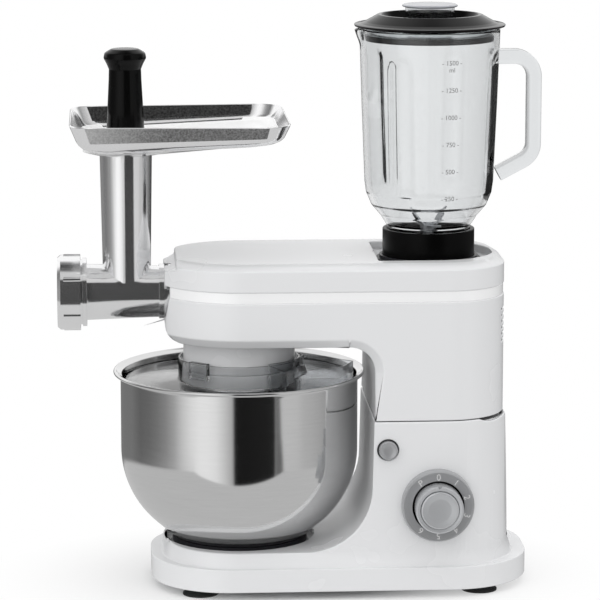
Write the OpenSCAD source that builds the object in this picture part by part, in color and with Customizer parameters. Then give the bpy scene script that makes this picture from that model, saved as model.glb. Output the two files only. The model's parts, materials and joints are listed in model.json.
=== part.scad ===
// Tilt-head stand mixer with steel bowl, splash guard, meat grinder and glass blender jug.
// Millimetres. +Z is up and Z = 0 is the table. The head points towards -X.
// Every module draws in the machine's own axes, where X = 0, Y = 0 is the bowl's axis;
// to_frame() then moves it so that the footprint of the whole machine is centred on the origin.

/* [Base] */
// Half width of the base
base_hw = 91; // [86:1:96]
// Front end of the base, from the bowl axis
base_front = -86; // [-92:1:-80]
// Rear end of the base, from the bowl axis
base_rear = 276; // [270:1:290]
// Corner radius of the base outline
base_corner = 76; // [60:1:78]
// Height of the base's lower edge above the table
base_lift = 7.5; // [7:0.5:9]
// Height of the ledge round the base
ledge_z = 30; // [28:1:32]
// Height of the deck that the bowl stands in
deck_z = 44; // [43:0.5:46]
// Wall of the plastic housings
wall = 2.5; // [2:0.1:3]
// Radius of a suction foot
foot_r = 17; // [14:0.5:19]
// Distance of the feet from the centre plane
foot_y = 61; // [52:1:62]

/* [Tower] */
// Half width of the pedestal
tower_hw = 83; // [82.5:0.5:84]
// Front face of the tower, from the bowl axis
tower_front = 124; // [124:0.5:126]
// Rear face of the tower at the seam
tower_rear = 252; // [250:1:256]
// How much further back the tower's foot reaches
tower_draft = 6; // [3:1:9]
// Radius of the sweep from the deck into the tower
sweep_r = 62; // [55:1:62]
// Height of the seam between pedestal and arm
seam_z = 170; // [169:0.5:171]

/* [Arm] */
// Half width of the arm
arm_hw = 82; // [81:0.5:82]
// Front face of the arm, from the bowl axis
arm_front = -67; // [-69:0.5:-66]
// How far the chin bulges in front of that face
chin = 4.5; // [2:0.5:5]
// Underside of the head
head_z = 240; // [239:0.5:241]
// Lower edge of the silver band
band_z = 283.7; // [282:0.1:285]
// Height of the silver band
band_h = 10; // [8:0.5:12]
// Height at which the top cover's bevel starts
bevel_z = 314; // [312:0.5:315]
// Top of the head
top_z = 319.5; // [319:0.5:321]
// Width of the bevel round the top face
bevel_w = 10; // [8:0.5:12]
// Radius of the arch between head and tower
arch_r = 24; // [20:1:26]
// Rear wall to hinge pin
pivot_in = 14; // [13:0.5:15]
// Seam to hinge pin
pivot_up = 25; // [24:0.5:27]
// Radius of the hinge pin
pin_r = 5; // [4:0.5:6]

/* [Bowl and guard] */
// Outer radius of the bowl's wall
bowl_r = 114; // [110:1:115]
// Top of the bowl's rim
rim_z = 206.4; // [204:0.2:208]
// Thickness of the steel
steel = 1.2; // [1:0.1:2]
// Radius of the rim's rolled bead
bead_r = 1.7; // [1.4:0.1:2]
// Outer radius of the ring under the bowl
bowl_foot_r = 65; // [62:1:67]
// Outer radius of the collar under the head
collar_r = 53.5; // [52:0.5:55]
// Lower end of that collar
collar_z = 209.5; // [208:0.5:212]
// Underside of the splash guard's disc
guard_z = 195; // [194:0.5:197]
// Thickness of the clear plastic
clear_wall = 2; // [1.6:0.1:2.4]

/* [Controls] */
// Speed dial, from the bowl axis
dial_x = 184; // [180:1:188]
// Speed dial's height
dial_z = 89.5; // [86:0.5:94]
// Outer radius of the dial's scale ring
dial_r = 34.4; // [32:0.2:36]
// Radius of the knob
knob_r = 23.3; // [21:0.1:24]
// Release button, from the bowl axis
button_x = 137; // [137:0.5:140]
// Release button's height
button_z = 142.5; // [140:0.5:146]
// Radius of the button
button_r = 9.6; // [8:0.1:9.8]
// Travel of the button
button_travel = 5; // [3:0.5:6]

/* [Grinder] */
// Height of the grinder's axis
hub_z = 282.5; // [281:0.5:284]
// Outer radius of the grinder's neck in the hub
neck_r = 24; // [22:0.1:24.5]
// Front face of the ring nut
nut_front = -173.3; // [-176:0.1:-170]
// Length of the ring nut
nut_len = 22; // [20:0.5:24]
// Outer radius of the ring nut
nut_r = 35.7; // [34:0.1:37]
// Feed tube, from the bowl axis
feed_x = -107; // [-110:0.5:-105]
// Bore radius of the feed tube
feed_bore = 19; // [18:0.1:20]
// Top of the feed tube
feed_top = 416; // [408:1:418]
// Rim of the hopper tray
tray_z = 451; // [448:1:454]
// Height of the pusher's top
pusher_top = 516; // [505:1:525]

/* [Blender jug] */
// Axis of the jug, from the bowl axis
jug_x = 182; // [180:0.5:184]
// Outer radius of the jug's collar
jug_collar_r = 44; // [43:0.2:45]
// Top of the jug's collar
jug_collar_z = 342; // [338:0.5:345]
// Top edge of the glass
glass_z = 533; // [525:1:535]
// Outer radius of the glass at its top edge
glass_r = 67; // [65:0.2:68]
// Thickness of the glass
glass_t = 4; // [3:0.2:5]
// Outer edge of the jug's handle, from the bowl axis
handle_x = 288.8; // [284:0.1:292]
// Width of the handle across
handle_w = 20; // [16:0.5:24]

/* [Hidden] */

$fn = 64;
gap = 0.3;                    // seat of one piece on another
run = 0.05;                   // radial clearance of a shaft in its bore
eps = 1;                      // how far a cutting shape runs past a face
far = 400;                    // longer than any part of the machine
frame_x = -(nut_front + handle_x) / 2;

pivot_x = tower_rear - pivot_in;
pivot_z = seam_z + pivot_up;
seam_gap = 0.8;
pedestal_z = seam_z - seam_gap;
// The pedestal's top deck, under the arm's sweep.
pocket_z = pivot_z - sqrt(pow(pivot_in, 2) + pow(pivot_up, 2)) - 0.8;
cover_z = band_z + band_h;
plate_t = 2.5;
plate_z = base_lift + 0.5;
foot_x = [base_front + 46, base_rear - 49];

// ---------- shared outlines ----------

function arc(cx, cy, r, a0, a1, n = 10) =
    [for (i = [0:n]) let (a = a0 + (a1 - a0) * i / n) [cx + r * cos(a), cy + r * sin(a)]];

module to_frame() translate([frame_x, 0, 0]) children();

// Puts a shape drawn in X and height into the XZ plane, spread over the width w.
module across(w) translate([0, w / 2, 0]) rotate([90, 0, 0]) linear_extrude(w) children();

// A round bar along X, Y or Z from a start point.
module bar_x(x0, x1, y, z, r) translate([x0, y, z]) rotate([0, 90, 0]) cylinder(r = r, h = x1 - x0);
module bar_y(y0, y1, x, z, r) translate([x, y0, z]) rotate([-90, 0, 0]) cylinder(r = r, h = y1 - y0);
module bar_z(z0, z1, x, y, r) translate([x, y, z0]) cylinder(r = r, h = z1 - z0);

// Rectangle with rounded corners, given by its ends and half width.
module rounded(x0, x1, hw, r) {
    translate([x0 + r, -hw]) square([x1 - x0 - 2 * r, 2 * hw]);
    translate([x0, -hw + r]) square([x1 - x0, 2 * (hw - r)]);
    for (x = [x0 + r, x1 - r], y = [-hw + r, hw - r]) translate([x, y]) circle(r);
}

module base_plan(t) rounded(base_front + t, base_rear - t, base_hw - t, base_corner - t);
module deck_plan(t) rounded(base_front + 16 + t, tower_rear + tower_draft - t, tower_hw - t, 66 - t);

// The arm from above: round at the nose, cut flat for the hub, with rounded rear corners.
nose_x = 2;
rear_corner = 58;
module arm_plan(t) {
    intersection() {
        union() {
            translate([nose_x, 0]) circle(arm_hw - t);
            translate([nose_x, -arm_hw + t]) square([tower_rear - rear_corner - nose_x, 2 * (arm_hw - t)]);
            translate([nose_x, -arm_hw + rear_corner])
                square([tower_rear - t - nose_x, 2 * (arm_hw - rear_corner)]);
            for (s = [-1, 1])
                translate([tower_rear - rear_corner, s * (arm_hw - rear_corner)]) circle(rear_corner - t);
        }
        translate([arm_front - chin + t, -far]) square([far, 2 * far]);
    }
}

// The arm from the side, up to the band: chin, underside, arch and tower front.
chin_r = 16;
module arm_side(t, top) {
    polygon(concat(
        [[arm_front + t, top]],
        arc(arm_front - chin + chin_r + t, head_z + chin_r + t, chin_r, 175, 270, 8),
        arc(tower_front + 1 - arch_r + t, head_z - arch_r + t, arch_r, 90, 0, 10),
        [[tower_front + 1 + t, seam_z - eps], [tower_rear - t, seam_z - eps], [tower_rear - t, top]]
    ));
}

// The pedestal from the side: deck, sweep, tower front and drafted rear.
module pedestal_side(t, low) {
    polygon(concat(
        [[tower_front - 1.5 - sweep_r, low], [tower_front - 1.5 - sweep_r, deck_z - t]],
        arc(tower_front - 1.5 - sweep_r + t, deck_z + sweep_r - t, sweep_r, -90, 0, 14),
        [[tower_front + t, pedestal_z + eps], [tower_rear + 0.5 - t, pedestal_z + eps],
         [tower_rear + tower_draft - t, low]]
    ));
}

// ---------- base ----------

seat_r = 72;
seat_z = deck_z - 6;
board_x = dial_x + 8;

module base_shell() color("white") {
    difference() {
        union() {
            translate([0, 0, base_lift]) linear_extrude(ledge_z - base_lift) base_plan(0);
            hull() {
                translate([0, 0, ledge_z - 1]) linear_extrude(1) deck_plan(-5, $fn = 48);
                translate([0, 0, deck_z - 1]) linear_extrude(1) deck_plan(0, $fn = 48);
            }
            intersection() {
                linear_extrude(pedestal_z) deck_plan(0);
                across(far) pedestal_side(0, ledge_z);
            }
        }
        // hollow base, open below for the base plate
        translate([0, 0, base_lift - eps]) linear_extrude(ledge_z - wall - base_lift + eps) base_plan(wall);
        linear_extrude(deck_z - wall) deck_plan(wall);
        // hollow tower, closed by its own top deck
        intersection() {
            linear_extrude(pocket_z - wall) deck_plan(wall);
            across(far) pedestal_side(wall, ledge_z - eps);
        }
        // pocket over the top deck that the arm's rear edge dips into
        intersection() {
            translate([0, 0, pocket_z]) linear_extrude(far) deck_plan(wall + 1.2);
            across(far) pedestal_side(wall, ledge_z - eps);
        }
        bar_y(-far, far, pivot_x, pivot_z, pivot_z - pocket_z - 0.2);
        // bowl seat
        bar_z(seat_z, deck_z + eps, 0, 0, seat_r);
        bar_z(0, seat_z + eps, 0, 0, seat_r - 6);
        // hinge bracket and striker pass through the top deck
        translate([pivot_x - 62, -48, pocket_z - wall - eps]) cube([60, 96, wall + 2 * eps]);
        translate([striker_x - 11, striker_y - 5, pocket_z - wall - eps])
            cube([striker_w + 15, 20, wall + 2 * eps]);
        // dial, button and cord inlet
        bar_y(-far, 0, dial_x, dial_z, dial_r - 8);
        bar_y(-far, 0, button_x, button_z, button_r + 0.6);
        bar_x(200, far, inlet_y, inlet_z, inlet_r);
    }
    // dish of the bowl seat
    difference() {
        bar_z(seat_z - wall, deck_z - 1, 0, 0, seat_r + wall);
        bar_z(seat_z, far, 0, 0, seat_r);
        bar_z(0, far, 0, 0, seat_r - 6);
    }
    // bosses that the base plate is screwed to
    for (p = screw_at, s = [-1, 1]) difference() {
        bar_z(plate_z + plate_t, p[1], p[0], s * screw_y, 5);
        bar_z(0, ledge_z - 6, p[0], s * screw_y, 1.5 + run);
    }
    // posts that carry the circuit board and the hinge bracket
    for (y = [-24, 24]) bar_z(plate_z + plate_t, bracket_foot_z, pivot_x - 34, y, 6);
    // web that joins those posts to the tower's side walls
    translate([pivot_x - 38, -tower_hw + wall + 0.4, ledge_z + 6]) cube([8, 2 * (tower_hw - wall - 0.4), 20]);
}

// the plate's screws from the bowl axis, each with the top of the boss it bites into
screw_at = [[-30, ledge_z + 4], [40, deck_z - 2], [215, ledge_z + 4]];
screw_y = 74;
inlet_y = 0;
inlet_z = 56;
inlet_r = 9;
bracket_foot_z = 118;

module base_plate() color("gainsboro") difference() {
    translate([0, 0, plate_z]) linear_extrude(plate_t) base_plan(wall + gap);
    for (p = screw_at, s = [-1, 1]) bar_z(0, far, p[0], s * screw_y, 1.5 + run);
    for (x = foot_x, s = [-1, 1]) bar_z(0, far, x, s * foot_y, foot_neck + run);
    for (i = [0:5]) translate([150 + 9 * i, -25, 0]) cube([4, 50, 30]);
}

module base_screws() color("silver") for (p = screw_at, s = [-1, 1]) {
    bar_z(plate_z - 2, plate_z, p[0], s * screw_y, 3.4);
    bar_z(plate_z, plate_z + 10, p[0], s * screw_y, 1.5);
}

foot_neck = 3;
module suction_feet() color("black") for (x = foot_x, s = [-1, 1])
    translate([x, s * foot_y, 0]) rotate_extrude() polygon([
        [0, 2], [foot_r - 6, 1.6], [foot_r - 5, 0], [foot_r, 0], [foot_r, 1.4], [foot_r - 5, 4.2],
        [9, 5], [9, plate_z], [foot_neck, plate_z], [foot_neck, plate_z + plate_t],
        [5, plate_z + plate_t], [4, plate_z + plate_t + 3], [0, plate_z + plate_t + 3]
    ]);

hook_n = 3;
hook_turn = 15;
module hooks(r0, r1, z, h, w) for (i = [0:hook_n - 1]) rotate(hook_turn + i * 360 / hook_n)
    translate([r0, -w / 2, z]) cube([r1 - r0, w, h]);

module bowl_seat() color("lightgray") {
    difference() {
        union() {
            bar_z(seat_z - wall - 2, seat_z, 0, 0, seat_r - 6 - gap);
            bar_z(seat_z - wall - 2, seat_z - wall, 0, 0, seat_r - 4.8);
            bar_z(seat_z - 0.5, seat_z + 4, 0, 0, 34);
        }
        bar_z(0, far, 0, 0, 20);
    }
    hooks(30, 45, seat_z + 3, 2.2, 20);
}

module dial_scale_ring() color("silver") translate([dial_x, -tower_hw, dial_z]) rotate([90, 0, 0]) {
    difference() {
        union() {
            cylinder(r = dial_r, h = 2);
            cylinder(r1 = dial_r, r2 = dial_r - 3, h = 5);
            translate([0, 0, -wall - 1]) cylinder(r = dial_r - 8, h = wall + 2);
        }
        translate([0, 0, 3.4]) cylinder(r = dial_r - 4.2, h = eps + 2);
        translate([0, 0, -10]) cylinder(r = 5, h = 30);
    }
}

module speed_switch() color("dimgray") difference() {
    translate([dial_x - 16, -tower_hw + wall + 1, dial_z - 16]) cube([32, 20, 32]);
    bar_y(-far, -tower_hw + wall + 15, dial_x, dial_z, 3 + run);
}

module control_board() color("darkgreen") {
    translate([board_x - 30, -tower_hw + 26.6, dial_z - 30]) cube([62, 1.6, 70]);
    for (i = [0:2]) translate([board_x - 20 + 18 * i, -tower_hw + 28.2, dial_z + 10]) cube([10, 12, 16]);
    bar_y(-tower_hw + 28.2, -tower_hw + 48, board_x - 12, dial_z - 14, 8);
    translate([board_x - 4, -tower_hw + wall + 21, dial_z - 8]) cube([8, 3.2, 16]);
}

// Steel bracket in the pedestal: two cheeks that reach back to the pin from the front.
cheek_in = 38;
cheek_t = 3;
module hinge_bracket() color("slategray") {
    for (s = [-1, 1]) translate([0, s * (cheek_in + cheek_t / 2), 0]) difference() {
        across(cheek_t) {
            polygon([[pivot_x - 46, bracket_foot_z], [pivot_x - 20, bracket_foot_z],
                     [pivot_x - 7, pivot_z - 9], [pivot_x, pivot_z + 10], [pivot_x - 22, pivot_z - 4],
                     [pivot_x - 46, bracket_foot_z + 24]]);
            translate([pivot_x, pivot_z]) circle(pin_r + 3);
        }
        bar_y(-far, far, pivot_x, pivot_z, pin_r);
    }
    translate([pivot_x - 46, -cheek_in - cheek_t, bracket_foot_z])
        cube([26, 2 * (cheek_in + cheek_t), cheek_t]);
}

module hinge_pin() color("silver") {
    bar_y(-cheek_in - cheek_t, cheek_in + cheek_t, pivot_x, pivot_z, pin_r);
    bar_y(-cheek_in - cheek_t - 2, -cheek_in - cheek_t, pivot_x, pivot_z, pin_r + 2);
    bar_y(cheek_in + cheek_t, cheek_in + cheek_t + 2, pivot_x, pivot_z, pin_r + 2);
}

inlet_wall = tower_rear + tower_draft * (1 - (inlet_z - ledge_z) / (pedestal_z - ledge_z));
module cord_inlet() color("dimgray") difference() {
    union() {
        bar_x(inlet_wall - 14, inlet_wall + 2.5, inlet_y, inlet_z, inlet_r - gap);
        bar_x(inlet_wall - 8, inlet_wall - wall - 0.7, inlet_y, inlet_z, inlet_r + 3);
    }
    bar_x(0, far, inlet_y, inlet_z, 4);
}

// ---------- bowl ----------

belly_r = 92;
belly_x = bowl_r - belly_r;
belly_z = 130;
cone_z = 61;
bowl_floor = seat_z + 6.5;
function belly(z, t) = belly_x + sqrt(pow(belly_r - t, 2) - pow(belly_z - z, 2));
function bowl_line(t) = concat(
    [for (i = [0:9]) let (z = bowl_floor + (cone_z - bowl_floor) * i / 9)
        if (i == 0 || i == 9)
            [bowl_foot_r - 1 - t + (belly(cone_z, 0) - bowl_foot_r + 1) * i / 9, z + t * (1 - i / 9)]],
    [for (i = [1:12]) let (z = cone_z + (belly_z - cone_z) * i / 12) [belly(z, t), z]]);

module bowl() color("lightsteelblue") rotate_extrude($fn = 128) {
    polygon(concat(
        [[0, bowl_floor]], bowl_line(0), [[bowl_r, rim_z - 8], [bowl_r + 2.5, rim_z - 4],
         [bowl_r + 4, rim_z - 2 * bead_r + 0.4], [bowl_r + 5.2, rim_z - 1.2],
         [bowl_r + 3.4, rim_z - 0.8], [bowl_r + 1, rim_z - 4], [bowl_r - steel, rim_z - 8.2]],
        [for (i = [13:-1:0]) let (p = bowl_line(steel)[i]) if (i > 0) [p[0], max(p[1], bowl_floor + steel)]],
        [[bowl_foot_r - 4, bowl_floor + steel], [0, bowl_floor + steel]]));
    translate([bowl_r + 5.1, rim_z - bead_r]) circle(bead_r, $fn = 24);
}

module bowl_foot() color("black") {
    difference() {
        bar_z(seat_z + gap, bowl_floor, 0, 0, bowl_foot_r);
        bar_z(0, far, 0, 0, bowl_foot_r - 14);
    }
    hooks(41, bowl_foot_r - 11, seat_z + gap + 0.1, 2.2, 18);
}

// ---------- controls ----------

module speed_knob() color("silver") translate([dial_x, -tower_hw, dial_z]) rotate([90, 0, 0]) {
    difference() {
        union() {
            translate([0, 0, 4]) cylinder(r = knob_r, h = 17);
            translate([0, 0, 21]) cylinder(r1 = knob_r, r2 = knob_r - 2, h = 2);
        }
        translate([0, 0, 21]) cylinder(r = knob_r - 5.4, h = 5);
        translate([0, knob_r - 1, 21.6]) cylinder(r = 1.6, h = 4);
    }
    translate([0, 0, -12 - wall]) cylinder(r = 3, h = 17 + wall);
}

module knob_cap() color("silver") translate([dial_x, -tower_hw - 21, dial_z]) rotate([90, 0, 0]) {
    cylinder(r = knob_r - 5.6, h = 1.2);
    translate([0, 0, 1.2]) intersection() {
        translate([0, 0, -46]) sphere(r = 48, $fn = 96);
        cylinder(r = knob_r - 5.6, h = 4);
    }
}

module release_button() color("silver") {
    bar_y(-tower_hw - 4, -tower_hw + 14, button_x, button_z, button_r);
    bar_y(-tower_hw + 7, -tower_hw + 8.5, button_x, button_z, button_r + 0.4);
}

striker_x = button_x + 3;
striker_w = 8;
striker_y = -54;
module latch_bolt() color("slategray") {
    bar_y(-tower_hw + 14, striker_y - button_travel - 1, button_x, button_z, 4);
    translate([button_x - 1, striker_y - button_travel - 3, button_z - 4]) cube([11, 2, 8]);
}

// ---------- arm ----------

vent_w = 92;
vent_z = 238;
collar_hole = collar_r + gap;
hub_r = 26.2;
hub_bore = neck_r + 0.2;
neck_end = -42;
hub_shaft_r = 12;
// The head's outline, drawn in along its lower edge.
lower_bevel_w = 8;
lower_bevel_h = 9;
module head_bevel(t) {
    hull() for (e = [[head_z - 1, lower_bevel_w], [head_z + lower_bevel_h, 0]])
        translate([0, 0, e[0]]) linear_extrude(0.5) arm_plan_fair(e[1] + t, arm_front - chin, $fn = 64);
    translate([0, 0, head_z + lower_bevel_h]) linear_extrude(band_z + 2 - head_z - lower_bevel_h) arm_plan(t);
}

// What that bevel takes off round the arch and, fading out, down the tower's front edges.
arch_x = tower_front + 1 - arch_r;
arch_z = head_z - arch_r;
bevel_slope = lower_bevel_w / (lower_bevel_h + 0.5);
module arch_bevel(t) {
    r0 = arch_r - 2;
    r1 = arch_r + lower_bevel_h + 1 + t;
    w0 = arm_hw + 0.6 - t - lower_bevel_w - 1.5 * bevel_slope;
    w1 = w0 + (r1 - r0) * bevel_slope;
    for (s = [-1, 1]) {
        translate([arch_x, 0, arch_z]) rotate([90, 0, 0]) rotate_extrude(angle = 90)
            polygon([[r0, s * w0], [r1, s * w1], [r0, s * w1]]);
        hull() for (e = [[arch_z - 0.1, 0], [seam_z - 2, lower_bevel_w - 1]])
            translate([arch_x, s * e[1], e[0]]) linear_extrude(0.1)
                polygon([[r0, s * w0], [r1, s * w1], [r0, s * w1]]);
    }
}

module head_shell() color("white") {
    difference() {
        intersection() {
            translate([0, 0, seam_z]) linear_extrude(band_z - seam_z) arm_plan(0);
            across(2 * arm_hw + 10) arm_side(0, band_z);
            union() {
                translate([arch_x, -far / 2, 0]) cube([far, far, far]);
                head_bevel(-0.6);
            }
        }
        intersection() {
            translate([0, 0, seam_z - eps]) linear_extrude(far) arm_plan(wall);
            across(2 * (arm_hw - wall)) arm_side(wall, band_z + eps);
            difference() {
                union() {
                    translate([arch_x, -far / 2, 0]) cube([far, far, far]);
                    head_bevel(wall + 0.4);
                }
                arch_bevel(wall + 1);
            }
        }
        arch_bevel(0);
        bar_z(0, far, 0, 0, collar_hole);
        bar_x(-far, 0, 0, hub_z, hub_r);
        for (i = [0:5]) translate([tower_rear - 8, -vent_w / 2, vent_z + 6 * i]) cube([16, vent_w, 2.4]);
    }
    // rails that the motor frame is screwed to
    for (s = [-1, 1], z = [motor_low - 5, motor_high - 5])
        translate([jug_x - 12, s * (arm_hw - wall - 3.5) - 4, z]) cube([24, 8, 5]);
}

step_x = arm_front + 6.3;
step_z = top_z - 8.5;
module top_cover() color("white") {
    difference() {
        union() {
            translate([0, 0, cover_z]) linear_extrude(bevel_z - cover_z) arm_plan(0);
            hull() {
                translate([0, 0, bevel_z - 0.5]) linear_extrude(0.5) arm_plan_fair(0, $fn = 64);
                translate([0, 0, top_z - 0.5]) linear_extrude(0.5) arm_plan_fair(bevel_w, $fn = 64);
            }
        }
        difference() {
            union() {
                translate([0, 0, cover_z - eps])
                    linear_extrude(bevel_z - cover_z - wall + eps) arm_plan(wall);
                translate([0, 0, cover_z]) linear_extrude(top_z - wall - cover_z) arm_plan(bevel_w);
            }
            translate([0, 0, recess_z - wall]) linear_extrude(far) recess_plan(-wall);
            translate([-far, -far, step_z - 2 * wall]) cube([far + step_x + wall, 2 * far, far]);
        }
        // step in the nose over the hub
        across(far) polygon([[-far, step_z - 2.5], [arm_front, step_z - 2.5], [step_x, step_z],
            [step_x, far], [-far, far]]);
        translate([0, 0, recess_z]) linear_extrude(far) recess_plan(0);
        bar_z(0, far, jug_x, 0, 20);
        bar_x(-far, 0, 0, hub_z, hub_r + gap);
    }
}

// The same outline with a flat front that leans in with the bevel.
module arm_plan_fair(t, front = arm_front) intersection() {
    union() {
        translate([nose_x, 0]) circle(arm_hw - t);
        translate([nose_x, -arm_hw + t]) square([tower_rear - rear_corner - nose_x, 2 * (arm_hw - t)]);
        for (s = [-1, 1]) translate([tower_rear - rear_corner, s * (arm_hw - rear_corner)])
            circle(rear_corner - t);
    }
    translate([front + t * 0.9, -far]) square([far, 2 * far]);
}

recess_z = top_z - 8;
recess_r = 57;
recess_x = jug_x + 4;
recess_front = tower_front + 6;
module recess_plan(t) {
    translate([recess_x, 0]) circle(recess_r - t);
    translate([recess_front + t, -recess_r + t]) square([recess_x - recess_front - t, 2 * (recess_r - t)]);
}

module trim_band() color("silver") difference() {
    translate([0, 0, band_z]) linear_extrude(band_h) intersection() {
        arm_plan(0.8);
        translate([arm_front + 0.4, -far]) square([far, 2 * far]);
    }
    translate([0, 0, band_z - eps]) linear_extrude(band_h + 2 * eps) intersection() {
        arm_plan(5);
        translate([arm_front + 5, -far]) square([far, 2 * far]);
    }
    bar_x(-far, 0, 0, hub_z, hub_r + gap);
}

module hub_socket() color("silver") difference() {
    bar_x(arm_front - 0.5, -38, 0, hub_z, hub_r);
    bar_x(-far, neck_end + gap, 0, hub_z, hub_bore);
    bar_x(-far, 0, 0, hub_z, hub_shaft_r + run);
}

socket_r = 50;
module jug_socket() color("darkgray") difference() {
    union() {
        bar_z(recess_z, recess_z + 2, jug_x, 0, socket_r);
        bar_z(recess_z, recess_z + 5, jug_x, 0, jug_collar_r + 3);
    }
    bar_z(0, far, jug_x, 0, jug_collar_r + 0.5);
}

ring_out = collar_r - 3;
ring_z = head_z - 14;
ring_h = 9;
module drive_collar() color("white") difference() {
    union() {
        bar_z(collar_z, case_z, 0, 0, collar_r);
        bar_z(head_z + wall + 0.2, case_z, 0, 0, collar_r + 2);
    }
    bar_z(0, ring_z + eps, 0, 0, ring_out - 2.5);
    bar_z(ring_z, far, 0, 0, ring_out);
    for (x = case_screw_x, s = [-1, 1]) bar_z(case_z - 2.6, far, x, s * 37, 1.9 + run);
}

// ---------- gears ----------

// Gear outline with straight-flanked teeth that stand clear of their mate by the backlash share.
module gear_2d(n, m, add = 0.85, ded = 1.1, flank = 0.19) {
    pr = n * m / 2;
    polygon([for (i = [0:n - 1], k = [[-0.5, -ded], [-flank - 0.1, -ded], [-flank + 0.1, add],
                                      [flank - 0.1, add], [flank + 0.1, -ded]])
        let (r = pr + k[1] * m, a = (i + k[0]) * 360 / n) [r * cos(a), r * sin(a)]]);
}

gear_m = 1.333;
ring_teeth = 60;
planet_teeth = 18;
planet_x = (ring_teeth - planet_teeth) * gear_m / 2;
module ring_gear() color("dimgray") difference() {
    bar_z(ring_z, ring_z + ring_h, 0, 0, ring_out);
    translate([0, 0, ring_z - eps]) linear_extrude(ring_h + 2 * eps)
        gear_2d(ring_teeth, gear_m, add = 1.15, ded = 0.85, flank = 0.29);
}

module planet_gear() color("dimgray") translate([planet_x, 0, ring_z + 0.5]) difference() {
    linear_extrude(ring_h - 1) rotate(180 / planet_teeth * (planet_teeth % 2)) gear_2d(planet_teeth, gear_m);
    translate([0, 0, -eps]) cylinder(r = tool_root_r, h = ring_h + 2 * eps);
}

tool_r = 5;
tool_root_r = 6;
tool_end = ring_z - 40;
tool_step = ring_z - 19.6;
cross_z = ring_z - 18;
module tool_shaft() color("silver") {
    bar_z(tool_end, tool_step, planet_x, 0, tool_r);
    bar_z(tool_step, ring_z + ring_h + 2, planet_x, 0, tool_root_r);
    bar_y(-8, 8, planet_x, cross_z, 1.5);
}

carrier_z = ring_z - 9;
main_r = 6;
module planet_carrier() color("whitesmoke") difference() {
    union() {
        bar_z(carrier_z, carrier_z + 4, 0, 0, ring_out - 3.5);
        bar_z(carrier_z, ring_z + ring_h + 2, 0, 0, 12);
        bar_z(carrier_z, ring_z - 0.5, planet_x, 0, 9);
    }
    bar_z(0, far, 0, 0, main_r);
    bar_z(0, far, planet_x, 0, tool_root_r + run);
}

case_z = head_z + wall + 3;
case_t = 3;
big_teeth = 48;
small_teeth = 12;
spur_m = 1.5;
lay_x = (big_teeth + small_teeth) * spur_m / 2;
spur_z = case_z + case_t + 2;
spur_h = 9;
mitre_teeth = 18;
mitre_m = 2;
mitre_r = mitre_teeth * mitre_m / 2;
mitre_h = 7;
mitre_z = hub_z - mitre_r;
module mitre_gear(turn) rotate(turn) linear_extrude(mitre_h, scale = (mitre_r - mitre_h) / mitre_r)
    gear_2d(mitre_teeth, mitre_m, add = 0.7, ded = 1.1, flank = 0.17);

module main_shaft() color("silver") bar_z(carrier_z, mitre_z + mitre_h, 0, 0, main_r);

module main_gear() color("goldenrod") {
    difference() {
        union() {
            translate([0, 0, spur_z]) linear_extrude(spur_h) gear_2d(big_teeth, spur_m);
            bar_z(spur_z + spur_h, mitre_z, 0, 0, 11);
            translate([0, 0, mitre_z]) mitre_gear(0);
        }
        bar_z(0, far, 0, 0, main_r);
    }
}

hub_shaft_end = -52;
module hub_drive_shaft() color("silver") {
    translate([-mitre_r, 0, hub_z]) rotate([0, 90, 0]) mitre_gear(180 / mitre_teeth);
    bar_x(hub_shaft_end + 14, -mitre_r + 2, 0, hub_z, 7);
    difference() {
        bar_x(hub_shaft_end, hub_shaft_end + 15.7, 0, hub_z, hub_shaft_r);
        translate([hub_shaft_end - eps, 0, hub_z]) rotate([0, 90, 0])
            cylinder(r = drive_hex + 0.3, h = 14, $fn = 6);
    }
}

pulley_z = 296;
pulley_h = 9;
small_pulley_r = 8;
big_pulley_r = 32;
belt_t = 1.8;
motor_low = 186;
motor_high = 279;

module layshaft() color("silver") difference() {
    union() {
        bar_z(case_z + 0.2, pulley_z + pulley_h, lay_x, 0, 4);
        translate([lay_x, 0, spur_z - 0.5]) linear_extrude(spur_h + 1)
            rotate(180 / small_teeth) gear_2d(small_teeth, spur_m);
    }
    bar_z(pulley_z + pulley_h - 2, far, lay_x, 0, 1);
}

module pulley(r, bore) difference() {
    union() {
        cylinder(r = r, h = pulley_h);
        cylinder(r = r + 2.4, h = 0.8);
        translate([0, 0, pulley_h - 0.8]) cylinder(r = r + 2.4, h = 0.8);
    }
    translate([0, 0, -eps]) cylinder(r = bore, h = pulley_h + 2 * eps);
}

module layshaft_pulley() color("dimgray") translate([lay_x, 0, pulley_z]) difference() {
    pulley(big_pulley_r, 4);
    for (i = [0:5]) rotate(60 * i) translate([big_pulley_r * 0.56, 0, -eps])
        cylinder(r = 6.5, h = pulley_h + 2 * eps);
}

// Belt round two pulleys, from the tangent lines between their circles.
module belt_outline(t) {
    d = jug_x - lay_x;
    lean = asin((big_pulley_r - small_pulley_r) / d);
    big = big_pulley_r + t;
    small = small_pulley_r + t;
    polygon(concat(arc(lay_x, 0, big, 90 - lean, 270 + lean, 40),
        arc(jug_x, 0, small, -90 + lean, 90 - lean, 20)));
}

module drive_belt() color("black")
translate([0, 0, pulley_z + 1.2]) linear_extrude(pulley_h - 2.4) difference() {
    belt_outline(belt_t);
    belt_outline(2 * run);
}

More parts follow.
